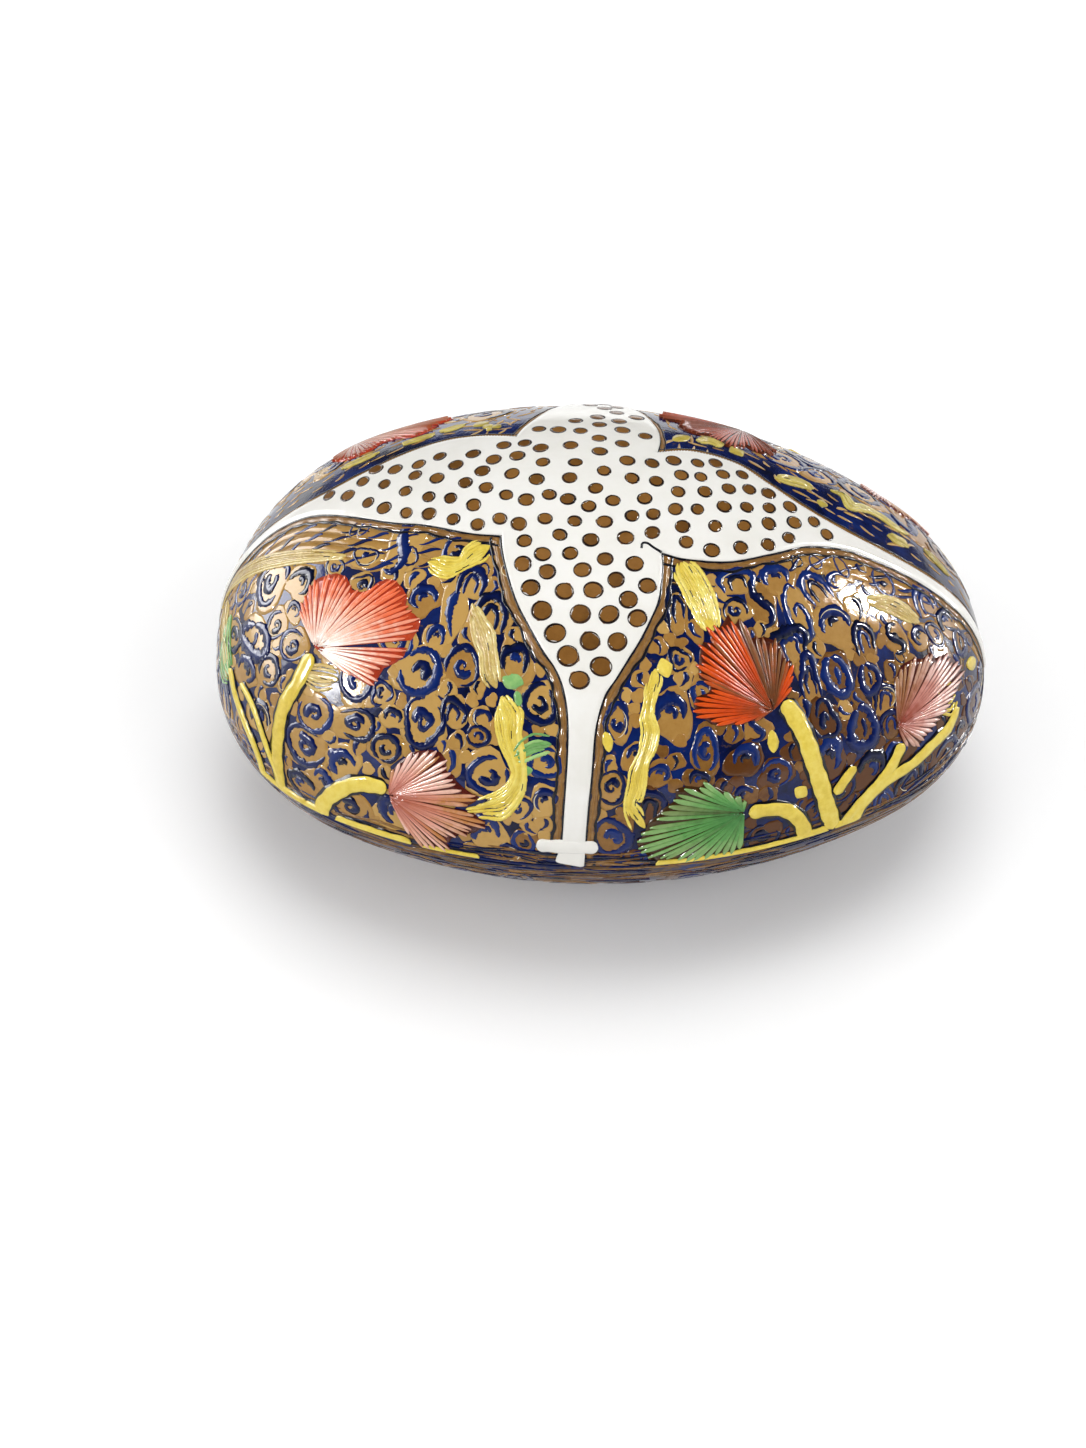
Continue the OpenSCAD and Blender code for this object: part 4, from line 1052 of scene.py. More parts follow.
# Scrollwork: gold discs brushed on the indigo leave dark wedges between them, and each disc carries one indigo
# motif. Rows are plan x and y, half size across and down the slope in mm, turn in degrees, and the motif.
# Between the rows more are packed in, biggest first: radius and tries. beside is how far from the medallion no
# scroll is packed: at the back, at the front left, and at the rest of the front.
scrolls = {
    "discMore": 1.22, "uneven": 0.12, "paleShare": 0.14, "beside": (8.0, 5.6, 1.8),
    "goldLift": 0.03, "strokeLift": 0.07, "paleLift": 0.095, "step": 0.26,
    "packed": [(3.0, 900), (2.5, 1800), (2.0, 2800), (1.55, 3600), (1.1, 4500), (0.75, 6000)],
    "rows": [
        (-12.2, -19.6, 2.3, 2.6, 16, "arch"), (-16.9, -18.9, 1.4, 3.5, 22, "comma"),
        (-20.7, -24.6, 2.8, 3.0, 18, "ring"), (-15.3, -24.7, 2.3, 2.4, 14, "curl"),
        (-8.7, -24.6, 2.1, 2.7, 9, "hook"), (-25.4, -25.8, 1.6, 1.5, 18, "ring"),
        (-34.3, -25.3, 2.8, 2.3, 20, "curl"), (-28.8, -27.5, 2.9, 2.0, 15, "curl"),
        (-19.9, -28.9, 2.7, 3.0, 12, "curl"), (-16.2, -28.5, 1.7, 1.6, 11, "arch"),
        (-12.6, -29.3, 1.3, 1.3, 8, "hook"), (-13.0, -30.6, 1.5, 1.4, 7, "ring"),
        (-5.5, -28.3, 2.1, 2.7, 5, "ring"), (-35.6, -26.9, 3.1, 2.8, 14, "curl"),
        (-30.3, -29.7, 2.3, 2.5, 9, "hook"), (-24.7, -30.0, 2.0, 1.9, 11, "ring"),
        (-11.5, -33.3, 2.9, 2.7, 5, "ring"), (-4.5, -32.7, 2.2, 2.0, 2, "ring"),
        (-37.7, -18.1, 2.3, 2.0, 42, "curl"), (-44.7, -16.4, 2.8, 1.9, 43, "hook"),
        (-41.1, -18.8, 2.2, 2.0, 39, "ring"), (-42.3, -21.7, 2.5, 2.5, 23, "hook"),
        (-37.5, -10.9, 2.5, 2.2, 64, "hook"), (-28.9, -10.1, 2.1, 1.5, 54, "dot"),
        (-23.2, -11.3, 1.5, 1.6, 45, "dot"), (-30.7, -5.5, 0.8, 1.4, 73, "dot"),
        (-29.6, -5.8, 0.8, 1.4, 71, "dot"), (-24.0, -9.6, 2.0, 4.1, 52, "ess"),
        (-14.8, -15.6, 1.9, 2.0, 24, "arch"), (-13.5, -14.3, 0.9, 1.3, 24, "dot"),
        (-43.6, -14.2, 4.0, 2.3, 56, "zero"), (-16.4, -32.1, 1.3, 1.9, 7, "comma"),
        (-4.5, -34.9, 1.8, 2.0, 1, "hook"), (-7.2, -36.3, 1.5, 1.7, 1, "ring"),
        (-36.5, -28.1, 2.8, 2.0, 5, "hook"), (-10.1, -14.3, 1.5, 1.3, 18, "hook"),
        (-32.2, -21.1, 1.4, 1.2, 29, "comma"), (-18.8, -21.5, 1.3, 1.8, 20, "hook"),
        (25.6, -14.2, 1.6, 3.7, -37, "six"), (21.3, -14.4, 1.6, 3.2, -33, "ess"),
        (10.8, -17.2, 1.6, 2.6, -16, "arch"), (31.0, -19.4, 1.9, 3.1, -27, "zero"),
        (35.2, -18.0, 1.6, 2.3, -29, "zero"), (27.5, -20.8, 1.4, 2.6, -23, "arch"),
        (34.2, -14.2, 1.6, 2.1, -40, "arch"), (38.5, -12.3, 1.6, 2.1, -46, "ess"),
        (41.7, -10.3, 1.6, 1.5, -52, "hook"), (29.8, -23.8, 1.8, 2.5, -17, "ring"),
        (34.7, -22.5, 2.3, 3.1, -18, "zero"), (19.9, -29.5, 2.1, 2.0, -8, "hook"),
        (23.9, -29.3, 2.0, 1.9, -7, "curl"), (15.0, -30.0, 1.6, 2.8, -7, "ring"),
        (10.6, -28.0, 2.6, 2.6, -6, "hook"), (4.0, -29.4, 1.6, 2.4, -2, "ring"),
        (3.6, -33.8, 1.8, 2.3, -1, "curl"), (11.3, -22.9, 1.4, 1.5, -11, "ring"),
        (9.3, -32.4, 1.5, 1.5, -3, "hook"), (32.3, -27.1, 2.0, 1.9, -6, "curl"),
        (39.4, -22.0, 2.1, 1.6, -12, "hook"), (22.6, -32.2, 2.3, 2.0, -1, "curl"),
        (31.2, -6.0, 1.0, 1.8, -66, "dot"), (27.8, -6.8, 1.0, 1.2, -61, "dot"),
        (25.4, -7.6, 0.9, 1.0, -56, "dot"), (42.4, -5.0, 2.6, 1.9, -74, "arch"),
        (36.7, -5.6, 1.7, 2.5, -70, "dot"), (17.9, -12.6, 2.7, 1.5, -33, "arch"),
        (45.4, -5.5, 2.1, 1.8, -72, "hook"), (46.9, -9.5, 1.9, 1.4, -53, "comma"),
        (27.1, -23.8, 1.4, 1.6, -17, "comma"), (18.0, -26.2, 2.0, 1.3, -11, "comma"),
        (6.4, -31.7, 1.3, 1.7, -2, "hook"), (41.4, -2.1, 1.5, 1.9, -85, "comma"),
        (33.3, -10.8, 1.6, 1.8, -50, "comma")],
}


# Curves of the motifs in their own frame: u across, v up the slope, the disc's edge at 1
motifCurves = {
    "archOver": [(-0.8, -0.9), (-0.85, 0), (-0.5, 0.72), (0, 0.92), (0.5, 0.72), (0.85, 0), (0.75, -0.9)],
    "archUnder": [(-0.36, -0.8), (-0.4, -0.1), (-0.15, 0.38), (0.15, 0.38), (0.4, -0.1), (0.34, -0.75)],
    "comma": [(-0.1, 0.85), (0.25, 0.45), (0.3, -0.1), (0.0, -0.6), (-0.35, -0.9)],
    "ess": [(0.5, 0.9), (-0.1, 0.95), (-0.55, 0.5), (-0.1, 0.05), (0.5, -0.4), (0.2, -0.9), (-0.5, -0.9)],
    "seed": [(0.0, 0.4), (0.1, 0.0), (0.0, -0.4)],
    "six": [(0.55, 0.75), (0, 0.98), (-0.7, 0.55), (-0.9, -0.1), (-0.6, -0.8), (0, -1), (0.65, -0.75),
            (0.8, -0.2), (0.35, 0.2), (-0.1, 0.1), (-0.2, -0.2)],
}


def motifCurve(name):
    return smoothLine(motifCurves[name], 0.06)


def arcLine(radius, first, sweep, last=None):
    t = np.linspace(0, 1, 60)
    reach = radius + ((radius if last is None else last) - radius) * t
    return np.stack([np.cos(first + sweep * t) * reach, np.sin(first + sweep * t) * reach], 1)


# Half width along a brush stroke: it lands blunt, is fullest at peak and draws out to a thin tail
def brushed(count, full, peak=0.35, landing=0.6, tail=0.2):
    t = np.linspace(0, 1, count)
    shape = np.interp(t, [0, peak, 1], [landing, 1, tail])
    return full * shape * np.sqrt(np.clip(t / 0.07, 0.02, 1)) * np.sqrt(np.clip((1 - t) / 0.05, 0.02, 1))


# The strokes of one motif: its curve, half width as a share of the radius, peak, landing and tail
def motifStrokes(kind):
    hand = dice.choice([-1, 1])
    first = dice.uniform(0, 2 * math.pi)
    if kind == "curl":
        turns = dice.uniform(6.2, 8.2)
        return [(arcLine(0.94, first, hand * dice.uniform(4.2, 5.8)), 0.2, 0.35, 0.4, 0.3),
                (arcLine(0.46, first + 2.5, hand * turns, 0.12), 0.25, 0.25, 0.75, 0.3)]
    if kind == "ring":
        return [(arcLine(0.88, first, hand * dice.uniform(5.2, 6.4)), 0.22, 0.5, 0.55, 0.45),
                (arcLine(0.34, first + 2, hand * dice.uniform(4.0, 5.6), 0.26), 0.24, 0.4, 0.7, 0.4)]
    if kind == "hook":
        first = math.pi / 2 - hand * dice.uniform(1.5, 2.6)
        return [(arcLine(0.76, first, hand * dice.uniform(3.8, 4.8), 0.66), 0.34, 0.45, 0.4, 0.25),
                (arcLine(0.3, first + hand * 0.8, hand * dice.uniform(2.8, 4.2), 0.2), 0.2, 0.4, 0.8, 0.4)]
    if kind == "arch":
        return [(motifCurve("archOver"), 0.3, 0.5, 0.35, 0.35), (motifCurve("archUnder"), 0.18, 0.5, 0.5, 0.4)]
    if kind == "comma":
        return [(motifCurve("comma") * [hand, 1], 0.3, 0.3, 0.75, 0.15)]
    if kind == "ess":
        return [(motifCurve("ess"), 0.32, 0.5, 0.4, 0.35)]
    if kind == "zero":
        return [(arcLine(0.8, 1.8, 6.3), 0.31, 0.45, 0.65, 0.6), (motifCurve("seed"), 0.16, 0.5, 0.6, 0.4)]
    if kind == "six":
        return [(motifCurve("six"), 0.27, 0.45, 0.4, 0.35)]
    return [(arcLine(0.8, first, 6.35), 0.11, 0.5, 0.8, 0.7), (arcLine(0.12, first, 5.0), 0.26, 0.5, 0.95, 0.9)]


# Gold tone with painted shade: bright on the left, where the key lamp is, and painted darker on the right and
# low down, where its shade falls; brown just above the rim
def goldToneWithPaintedShade(point):
    right = min(max(point[0] / 10, 0), 1)
    low = 1 - min(max((point[2] - 28) / 15, 0), 1)
    rim = min(max((27 - point[2]) / 5, 0), 1)
    return 0.74 - 0.62 * right * low - 0.14 * right - 0.4 * rim + dice.normal(0, 0.1)


# One disc of gold with its motif: a and b are half its size across and down, plain leaves the motif out
def addMotif(gold, navy, pale, centre, axes, a, b, turn, kind, plain=False):
    down, right, out = axes
    c, s = math.cos(turn), math.sin(turn)
    along, up = c * right - s * down, -s * right - c * down
    radius = math.sqrt(a * b)
    more = scrolls["discMore"]
    # the disc's tone carries painted shade: darker on the right and low down
    addDab(gold, centre, axes, (a * more, b * more), scrolls["goldLift"] + dice.uniform(0, 0.012), 0.012,
           goldToneWithPaintedShade(centre), corners=20, turn=turn, uneven=scrolls["uneven"])
    if plain:
        return

    def onDisc(line):
        return evenly(centre + np.outer(line[:, 0] * a, along) + np.outer(line[:, 1] * b, up), scrolls["step"])

    bend, lean, swing = dice.normal(0, 0.07, 2), dice.uniform(0, 6.28, 2), dice.uniform(0, 6.28)
    for line, share, peak, landing, tail in motifStrokes(kind):
        angle = np.arctan2(line[:, 1], line[:, 0])
        swing2, swing3 = bend[0] * np.sin(2 * angle + lean[0]), bend[1] * np.sin(3 * angle + lean[1])
        path = onDisc(line * (1 + swing2 + swing3)[:, None])
        if len(path) < 5:
            continue
        count = len(path)
        half = brushed(count, max(share * radius, 0.13) * dice.uniform(0.9, 1.15), peak, landing, tail)
        half = half * (1 + 0.14 * np.sin(np.arange(count) * 0.9 + swing))
        left = half * (1 + dice.normal(0, 0.12, count)) + dice.normal(0, 0.025, count)
        other = half * (1 + dice.normal(0, 0.12, count)) + dice.normal(0, 0.025, count)
        # edges darkened and middle lightened: pooled paint with painted shade of a rounded stroke
        addStroke(navy, path, np.maximum(left, 0.03), scrolls["strokeLift"] + dice.uniform(0, 0.01),
                  dice.uniform(0.1, 0.9), across=3, halfRight=np.maximum(other, 0.03), edgeShade=0.14)
    if dice.uniform(0, 1) < scrolls["paleShare"]:
        first = dice.uniform(0, 6.28)
        path = onDisc(arcLine(0.76, first, dice.uniform(1.6, 3.6)))
        if len(path) > 4:
            addStroke(pale, path, brushed(len(path), 0.075, 0.5, 0.5, 0.3), scrolls["paleLift"],
                      dice.uniform(0.3, 1))


# Evenly scattered places for packing, on the lid or on the base
def scattered(count, top):
    turn, share = dice.uniform(0, 2 * math.pi, count), dice.uniform(0, 1, count)
    reach = np.interp(turn, polarTurn, polarReach, period=2 * math.pi)
    if top:
        flat = np.stack([np.cos(turn), np.sin(turn)], 1) * (reach * np.sin(share * math.pi / 2))[:, None]
        height = lidRise * np.sqrt(np.maximum(widthSquared(flat[:, 0])[0] - flat[:, 1] ** 2, 0.02)) + seam[2]
        return ontoLid(np.column_stack([flat, height]))
    depth = 0.8 + share * (box["seamHeight"] - 2.4)
    shrink = (1 - (depth / box["bowlDepth"]) ** box["bowlFullness"]) ** (1 / box["bowlFullness"])
    flat = np.stack([np.cos(turn), np.sin(turn)], 1) * (reach * shrink)[:, None]
    return ontoBase(np.column_stack([flat, seam[2] - depth]))


# Room at each place before a leaf, a branch or a touch of thick paint begins
def roomBesidePaste(points):
    lines = []
    for branch in branches.values():
        lines += [draped(guides, 0.8) for guides, half in branch["stems"]]
    for touch in touches.values():
        lines += [draped(np.array(run)[:, :2], 0.8) for run in touch["runs"]]
    room = np.full(len(points), 99.0)
    for line in lines:
        room = np.minimum(room, np.sqrt(((points[:, None] - line[None]) ** 2).sum(2)).min(1) - 0.9)
    for leaf in leaves.values():
        leaf = {**leaf, **leaves[leaf["mirrored"]], "flip": -1} if "mirrored" in leaf else {**leaf, "flip": 1}
        for tips, tint in leafRuns(leaf)[1]:
            ring = np.concatenate([leafRuns(leaf)[0][None], tips]) * [1, leaf["flip"], 1]
            gap = np.sqrt(((points[:, None] - ring[None]) ** 2).sum(2)).min(1)
            same = np.sign(points[:, 1]) == np.sign(ring[0, 1])
            inside = withinRing(points[:, :2], ring[:, :2]) & same
            room = np.where(inside, -gap, np.minimum(room, gap))
    return room


# Places for more discs, where they have room beside the ones already taken
def packScrolls(top, taken, sizes, plan, loose=1.0):
    found = []
    for radius, tries in plan:
        points, normals = scattered(tries, top)
        room = np.full(len(points), 99.0)
        edge = np.abs(points[:, 2] - seam[2])
        if top:
            gap = np.where(withinRing(points[:, :2], medallionRing), -1, borderDistance(points))
            back, frontLeft, front = scrolls["beside"]
            kept = (points[:, 1] > 1) & (gap < back)
            clear = np.where(points[:, 0] < -18, frontLeft, front)
            kept |= (points[:, 1] < 0) & (gap < clear) & (np.abs(points[:, 0]) > 14)
            room = np.minimum(roomBesidePaste(points) * 1.25 + radius * 0.25, gap - 0.9)
            room = np.where(kept, -1, room)
        fine = (room > radius * 0.85) & (edge > radius * 0.62)
        for j in np.flatnonzero(fine):
            size = radius * dice.uniform(0.88, 1.1)
            if len(taken) and (np.sqrt(((taken - points[j]) ** 2).sum(1)) < (sizes + size) * loose).any():
                continue
            taken = np.concatenate([taken, points[j:j + 1]])
            sizes = np.append(sizes, size)
            found.append((points[j], slopeAxes(normals[j]), size))
    return found


def buildLidScrolls():
    names = ["FrontLeft", "FrontRight", "BackLeft", "BackRight"]
    gold, navy, pale = [{name: newSheet(ontoLid) for name in names} for turn in range(3)]

    def place(centre, axes, a, b, turn, kind, plain=False):
        name = ("Front" if centre[1] < 0 else "Back") + ("Left" if centre[0] < -1 else "Right")
        addMotif(gold[name], navy[name], pale[name], centre, axes, a, b, turn, kind, plain)

    taken, sizes = [], []
    for x, y, a, b, turn, kind in scrolls["rows"]:
        centre, axes = lidPlace(x, y)
        place(centre, axes, a, b, math.radians(turn) * 0.4, kind)
        for shift in ((-0.5, 0.5) if max(a, b) > 1.45 * min(a, b) else (0,)):
            long = -axes[0] if b > a else axes[1]
            taken.append(centre + long * shift * abs(b - a))
            sizes.append(min(a, b) * 1.02)
    print("scrolls measured:", len(scrolls["rows"]))
    more = packScrolls(True, np.array(taken), np.array(sizes), scrolls["packed"], 0.93)
    for centre, axes, size in more:
        stretch = dice.uniform(0.92, 1.12)
        small = "comma" if size > 0.95 or dice.uniform(0, 1) < 0.5 else "dot"
        # more loops and upright marks on the right, more curls on the left
        chances = [0.16, 0.14, 0.24, 0.2, 0.18, 0.08] if centre[0] > 8 else [0.36, 0.28, 0.24, 0.1, 0.02, 0.0]
        kind = dice.choice(["curl", "ring", "hook", "arch", "zero", "ess"], p=chances) if size > 1.3 else small
        place(centre, axes, size / stretch, size * stretch, dice.normal(0, 0.35), kind, size < 0.8)
    print("scrolls packed between:", len(more))
    for name in names:
        sheetPiece("lidGoldWeb" + name, gold[name], paints["gold"], "lid")
        sheetPiece("lidScrolls" + name, navy[name], paints["indigo"], "lid")
        sheetPiece("lidPaleLines" + name, pale[name], paints["cream"], "lid")


buildLidScrolls()

# Bands of gold beside the front borders with slanting indigo dashes across them: how far out each runs, its
# half width, and from where to where along the border. far is how far out the rows of short gold dashes at the
# back run, and they stop at the height farLowest.
bands = {
    "left": [(2.2, 0.9, 0.05, 0.96), (3.7, 0.9, 0.08, 0.95), (5.2, 0.9, 0.12, 0.9), (6.6, 0.8, 0.25, 0.8)],
    "right": [(2.2, 0.8, 0.2, 0.95), (3.5, 0.7, 0.3, 0.85)],
    "dashEvery": (3.2, 5.4), "dashHalf": (0.18, 0.34), "goldLift": 0.034, "dashLift": 0.07, "step": 0.4,
    "far": (2.6, 4.4, 6.2), "farLowest": 26, "farHalf": (0.16, 0.3), "farLift": 0.04,
}


def buildBands():
    gold, navy = newSheet(ontoLid), newSheet(ontoLid)
    for key, turn in (("left", 1), ("right", 0)):
        for offset, half, start, stop in bands[key]:
            line = borderPath(key, turn, offset)
            line = evenly(ontoLid(line[int(start * len(line)):int(stop * len(line))])[0], bands["step"])
            count = len(line)
            swell = half * (1 + 0.2 * np.sin(np.linspace(0, count * 0.28, count) + offset))
            ends = np.sqrt(np.clip(np.minimum(np.arange(count), np.arange(count)[::-1]) / 6, 0.05, 1))
            addStroke(gold, line, swell * ends, bands["goldLift"], 0.62, across=3)
            base, normal = ontoLid(line)
            ahead = np.gradient(base, axis=0)
            ahead /= np.linalg.norm(ahead, axis=1)[:, None]
            side = np.cross(normal, ahead)
            at = 3.0
            while at < count - 8:
                k = int(at)
                reach = dice.uniform(1.2, 2.2)
                bow = np.linspace(-1, 1, 14)
                path = base[k] + np.outer(bow * reach, ahead[k]) \
                    + np.outer(bow * dice.uniform(0.3, 0.8) + 0.2 * np.sin(bow * 3), side[k])
                # edges darkened and middle lightened: painted shade of a rounded dash
                addStroke(navy, path, brushed(14, dice.uniform(*bands["dashHalf"]), 0.4, 0.4, 0.2),
                          bands["dashLift"], dice.uniform(0.1, 0.9), across=3, edgeShade=0.1)
                at += dice.uniform(*bands["dashEvery"]) / bands["step"]
    # the far side keeps short gold dashes on plain indigo beside the medallion
    for key, turn in (("right", 1), ("back", 0), ("back", 1), ("left", 0)):
        for offset in bands["far"]:
            line = borderPath(key, turn, offset)
            at = dice.uniform(2, 8)
            while at < len(line) * 0.86:
                k = int(at)
                middle = line[k:k + 1]
                if middle[0, 2] < bands["farLowest"]:
                    break
                ahead = line[min(k + 1, len(line) - 1)] - line[k - 1]
                ahead /= np.linalg.norm(ahead)
                bow = np.linspace(-1, 1, 9)[:, None]
                lean = np.cross(ahead, ontoLid(middle)[1][0]) * dice.normal(0, 0.35)
                path = middle + bow * (ahead + lean) * dice.uniform(0.7, 1.5) + (1 - bow ** 2) * lean * 0.5
                addStroke(gold, path, brushed(9, dice.uniform(*bands["farHalf"]), 0.4, 0.6, 0.3),
                          bands["farLift"], dice.uniform(0.5, 0.9))
                at += dice.uniform(4.5, 11)
    sheetPiece("lidBorderGoldBands", gold, paints["gold"], "lid")
    sheetPiece("lidBorderDashes", navy, paints["indigo"], "lid")


buildBands()

# Gold brown and indigo dashes round both rims, over the lowest scrolls. Rows are the span of heights from the
# seam in mm, how many dashes, and their lift. sign is 1 above the seam and -1 below it.
rims = {
    "length": (3.0, 8.0), "half": (0.12, 0.3),
    "lid": {"sign": 1, "gold": ((0.5, 2.6), 150, 0.1), "indigo": ((0.5, 2.6), 150, 0.115)},
    "base": {"sign": -1, "gold": ((0.5, 6.5), 330, 0.05), "indigo": ((0.5, 6.5), 165, 0.07)},
}


def rimDashes(sheet, onto, sign, heights, count, lift):
    bow = np.linspace(-1, 1, 16)
    for k in range(count):
        turn = dice.uniform(0, 2 * math.pi)
        share = dice.uniform(0, 1)
        height = heights[0] + (heights[1] - heights[0]) * share ** 1.3
        reach = dice.uniform(*rims["length"]) / 2
        around = turn + bow * reach / np.interp(turn, polarTurn, polarReach, period=2 * math.pi)
        out = np.interp(around, polarTurn, polarReach, period=2 * math.pi)
        rise = seam[2] + sign * (height + 0.3 * bow * dice.normal(0, 1))
        path = onto(np.column_stack([np.cos(around) * out, np.sin(around) * out, rise]))[0]
        path[:, 2] = rise
        path = onto(path)[0]
        addStroke(sheet, path, brushed(16, dice.uniform(*rims["half"]), 0.4, 0.4, 0.2), lift,
                  dice.uniform(0.0, 0.5))


def buildRims():
    for body, onto in (("lid", ontoLid), ("base", ontoBase)):
        gold, navy = newSheet(onto), newSheet(onto)
        rimDashes(gold, onto, rims[body]["sign"], *rims[body]["gold"])
        rimDashes(navy, onto, rims[body]["sign"], *rims[body]["indigo"])
        sheetPiece(body + "RimGoldDashes", gold, paints["border"], body)
        sheetPiece(body + "RimIndigoDashes", navy, paints["indigo"], body)


buildRims()


# The same scrolls below the rim, packed a little more loosely. dashed is the band under the seam that has none.
baseScrolls = {"packed": [(2.6, 500), (2.1, 900), (1.6, 1400), (1.1, 1800)], "loose": 1.12, "dashed": 5.0}


def buildBaseScrolls():
    more = packScrolls(False, np.empty((0, 3)), np.empty(0), baseScrolls["packed"], baseScrolls["loose"])
    sheets = {side: [newSheet(ontoBase) for turn in range(3)] for side in ("Left", "Right")}
    for centre, axes, size in more:
        if centre[2] > seam[2] - baseScrolls["dashed"]:
            continue
        stretch = dice.uniform(0.92, 1.12)
        kind = dice.choice(["curl", "ring", "hook"]) if size > 1.3 else "comma"
        addMotif(*sheets["Left" if centre[0] < 0 else "Right"], centre, axes, size / stretch, size * stretch,
                 dice.normal(0, 0.4), kind)
    for side, (gold, navy, pale) in sheets.items():
        sheetPiece("baseGoldWeb" + side, gold, paints["gold"], "base")
        sheetPiece("baseScrolls" + side, navy, paints["indigo"], "base")
        sheetPiece("basePaleLines" + side, pale, paints["cream"], "base")
    print("base scrolls:", len(more))


buildBaseScrolls()

# Camera above and in front, the box turned a little clockwise under it. Each lamp: the way it lies from the
# box, how far in metres, size, watts, and whether it is for light or is seen only as a gleam in the varnish.
# aim is the height that the lamps look at, and walls is how bright the mirrored room is from left to right.
studio = {
    "tilt": 45.6, "turn": 3.6, "distance": 0.320, "lens": 58.08, "shift": (-0.0388, -0.0447),
    "floor": "#F4F4F4", "floorGlow": (0.09, 1.3), "glowReach": (0.035, 0.36), "ambient": 0.28, "floorHalf": 1.2,
    "aim": 0.03, "walls": [(0.08, 1.0), (0.3, 0.08), (0.75, 0.06), (0.94, 1.0)],
    "lamps": {
        "topSoftbox": ((0.05, 0.1, 1.0), 1.1, 0.7, 6.0, "light"),
        "keySoftbox": ((-0.81, -0.47, 0.35), 0.8, 0.7, 2.6, "light"),
        "fillSoftbox": ((0.6, -0.45, 0.57), 0.8, 0.5, 1.9, "light"),
        "keyGleam": ((-0.81, -0.47, 0.35), 0.8, 0.16, 28.0, "gleam"),
        "fillGleam": ((0.78, 0.27, 0.57), 0.8, 0.13, 14.0, "gleam"),
        "stripGleam": ((0.97, 0.26, 0.05), 0.8, 0.1, 5.0, "gleam"),
        "leftCard": ((-0.95, 0.28, 0.14), 0.5, 0.42, 8.0, "gleam"),
        "rightCard": ((0.93, 0.35, 0.1), 0.5, 0.25, 0.8, "gleam")},
}


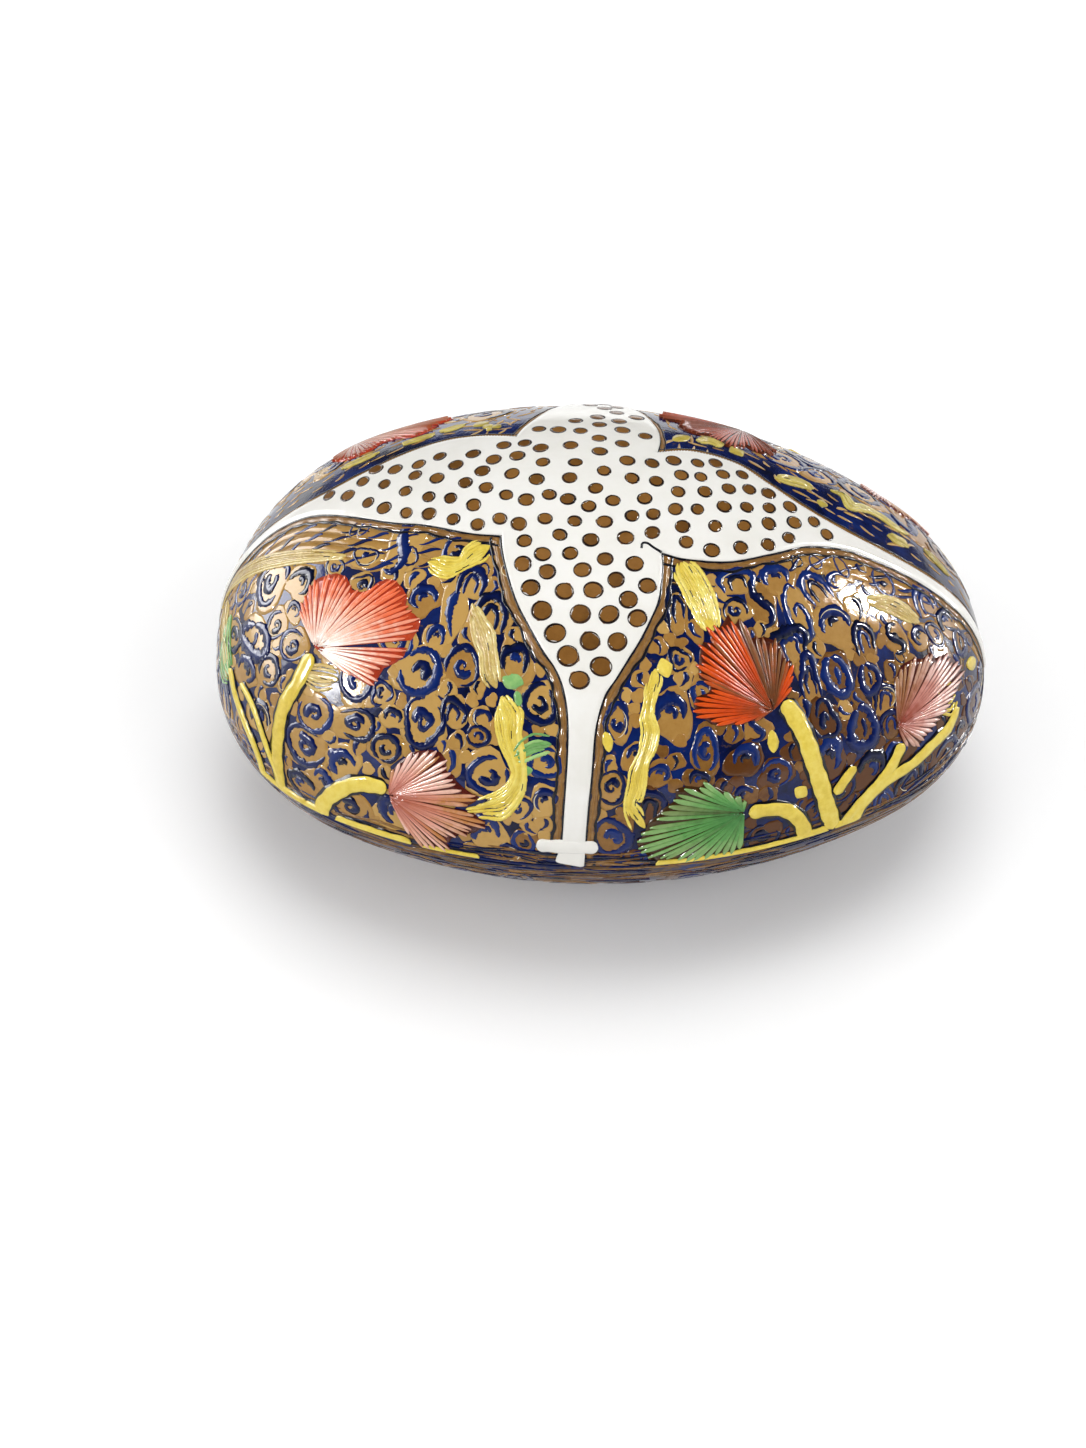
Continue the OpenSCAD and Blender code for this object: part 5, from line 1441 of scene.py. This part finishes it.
def buildStudio():
    tilt, turn = math.radians(studio["tilt"]), math.radians(studio["turn"])
    target = np.array([0, 0, box["seamHeight"] * 0.001])
    back = np.array([math.sin(turn) * math.cos(tilt), -math.cos(turn) * math.cos(tilt), math.sin(tilt)])
    lens = bpy.data.cameras.new("studioCamera")
    lens.lens, lens.sensor_width = studio["lens"], 36.0
    lens.shift_x, lens.shift_y = studio["shift"]
    lens.clip_start, lens.clip_end = 0.01, 20
    camera = bpy.data.objects.new("studioCamera", lens)
    bpy.context.scene.collection.objects.link(camera)
    camera.location = target + back * studio["distance"]
    camera.rotation_mode = "QUATERNION"
    camera.rotation_quaternion = Vector(-back).to_track_quat("-Z", "Y")
    bpy.context.scene.camera = camera

    floor = bpy.data.meshes.new("studioFloor")
    w = studio["floorHalf"]
    floor.from_pydata([(-w, -w, 0), (w, -w, 0), (w, w, 0), (-w, w, 0)], [], [(0, 1, 2, 3)])
    made = bpy.data.objects.new("studioFloor", floor)
    bpy.context.scene.collection.objects.link(made)
    paper = bpy.data.materials.new("seamlessPaperMatt")
    paper.use_nodes = True
    tree = paper.node_tree
    tree.nodes.clear()
    matt = addNode(tree, "BsdfDiffuse", {"Color": linearHex(studio["floor"])})
    # the paper brightens away from the box, until it is as white as the room behind it
    away = addNode(tree, "VectorMath", {0: addNode(tree, "TexCoord").outputs["Object"]}, operation="LENGTH")
    share = addNode(tree, "MapRange", {"Value": away.outputs["Value"], "From Min": studio["glowReach"][0],
                                       "From Max": studio["glowReach"][1], "To Min": studio["floorGlow"][0],
                                       "To Max": studio["floorGlow"][1]})
    glow = addNode(tree, "Emission", {"Strength": share.outputs["Result"]})
    path = addNode(tree, "LightPath")
    straight = addNode(tree, "Math", {0: path.outputs["Is Camera Ray"], 1: path.outputs["Is Transmission Ray"]},
                       operation="MAXIMUM")
    seen = addNode(tree, "Math", {0: straight.outputs["Value"], 1: path.outputs["Is Glossy Ray"]},
                   operation="MAXIMUM").outputs["Value"]
    both = addNode(tree, "AddShader", {0: matt.outputs["BSDF"], 1: glow.outputs["Emission"]})
    mixed = addNode(tree, "MixShader", {"Fac": seen, 1: matt.outputs["BSDF"], 2: both.outputs["Shader"]})
    addNode(tree, "OutputMaterial", {"Surface": mixed.outputs["Shader"]})
    floor.materials.append(paper)

    # the room: even light on the object and white behind it. The varnish mirrors white walls left and right and
    # a dim room between them.
    world = bpy.data.worlds.new("studioWorld")
    bpy.context.scene.world = world
    world.use_nodes = True
    tree = world.node_tree
    tree.nodes.clear()
    path = addNode(tree, "LightPath")
    way = addNode(tree, "SeparateXYZ", {"Vector": addNode(tree, "TexCoord").outputs["Generated"]})
    across = addNode(tree, "Math", {0: way.outputs["X"], 1: 0.5, 2: 0.5}, operation="MULTIPLY_ADD")
    wall = addNode(tree, "ValToRGB", {"Fac": across.outputs["Value"]}, stops=studio["walls"])
    even = addNode(tree, "Background", {"Strength": studio["ambient"]})
    even.inputs["Color"].default_value = (1, 1, 1, 1)
    mirrored = addNode(tree, "Background", {"Color": wall.outputs["Color"]})
    white = addNode(tree, "Background", {"Color": (1, 1, 1, 1)})
    room = addNode(tree, "MixShader", {"Fac": path.outputs["Is Glossy Ray"], 1: even.outputs["Background"],
                                       2: mirrored.outputs["Background"]})
    straight = addNode(tree, "Math", {0: path.outputs["Is Camera Ray"], 1: path.outputs["Is Transmission Ray"]},
                       operation="MAXIMUM")
    mixed = addNode(tree, "MixShader", {"Fac": straight.outputs["Value"], 1: room.outputs["Shader"],
                                        2: white.outputs["Background"]})
    addNode(tree, "OutputWorld", {"Surface": mixed.outputs["Shader"]})

    for name, (way, reach, size, power, use) in studio["lamps"].items():
        lamp = bpy.data.lights.new(name, "AREA")
        lamp.energy, lamp.size = power, size
        made = bpy.data.objects.new(name, lamp)
        bpy.context.scene.collection.objects.link(made)
        place = np.array(way) / np.linalg.norm(way) * reach + [0, 0, studio["aim"]]
        made.location = place
        made.rotation_mode = "QUATERNION"
        made.rotation_quaternion = Vector(-place + [0, 0, studio["aim"]]).to_track_quat("-Z", "Y")
        made.visible_glossy = use == "gleam"
        made.visible_diffuse = use == "light"


buildStudio()
bpy.context.scene.view_settings.view_transform = "Standard"
print("studio set")
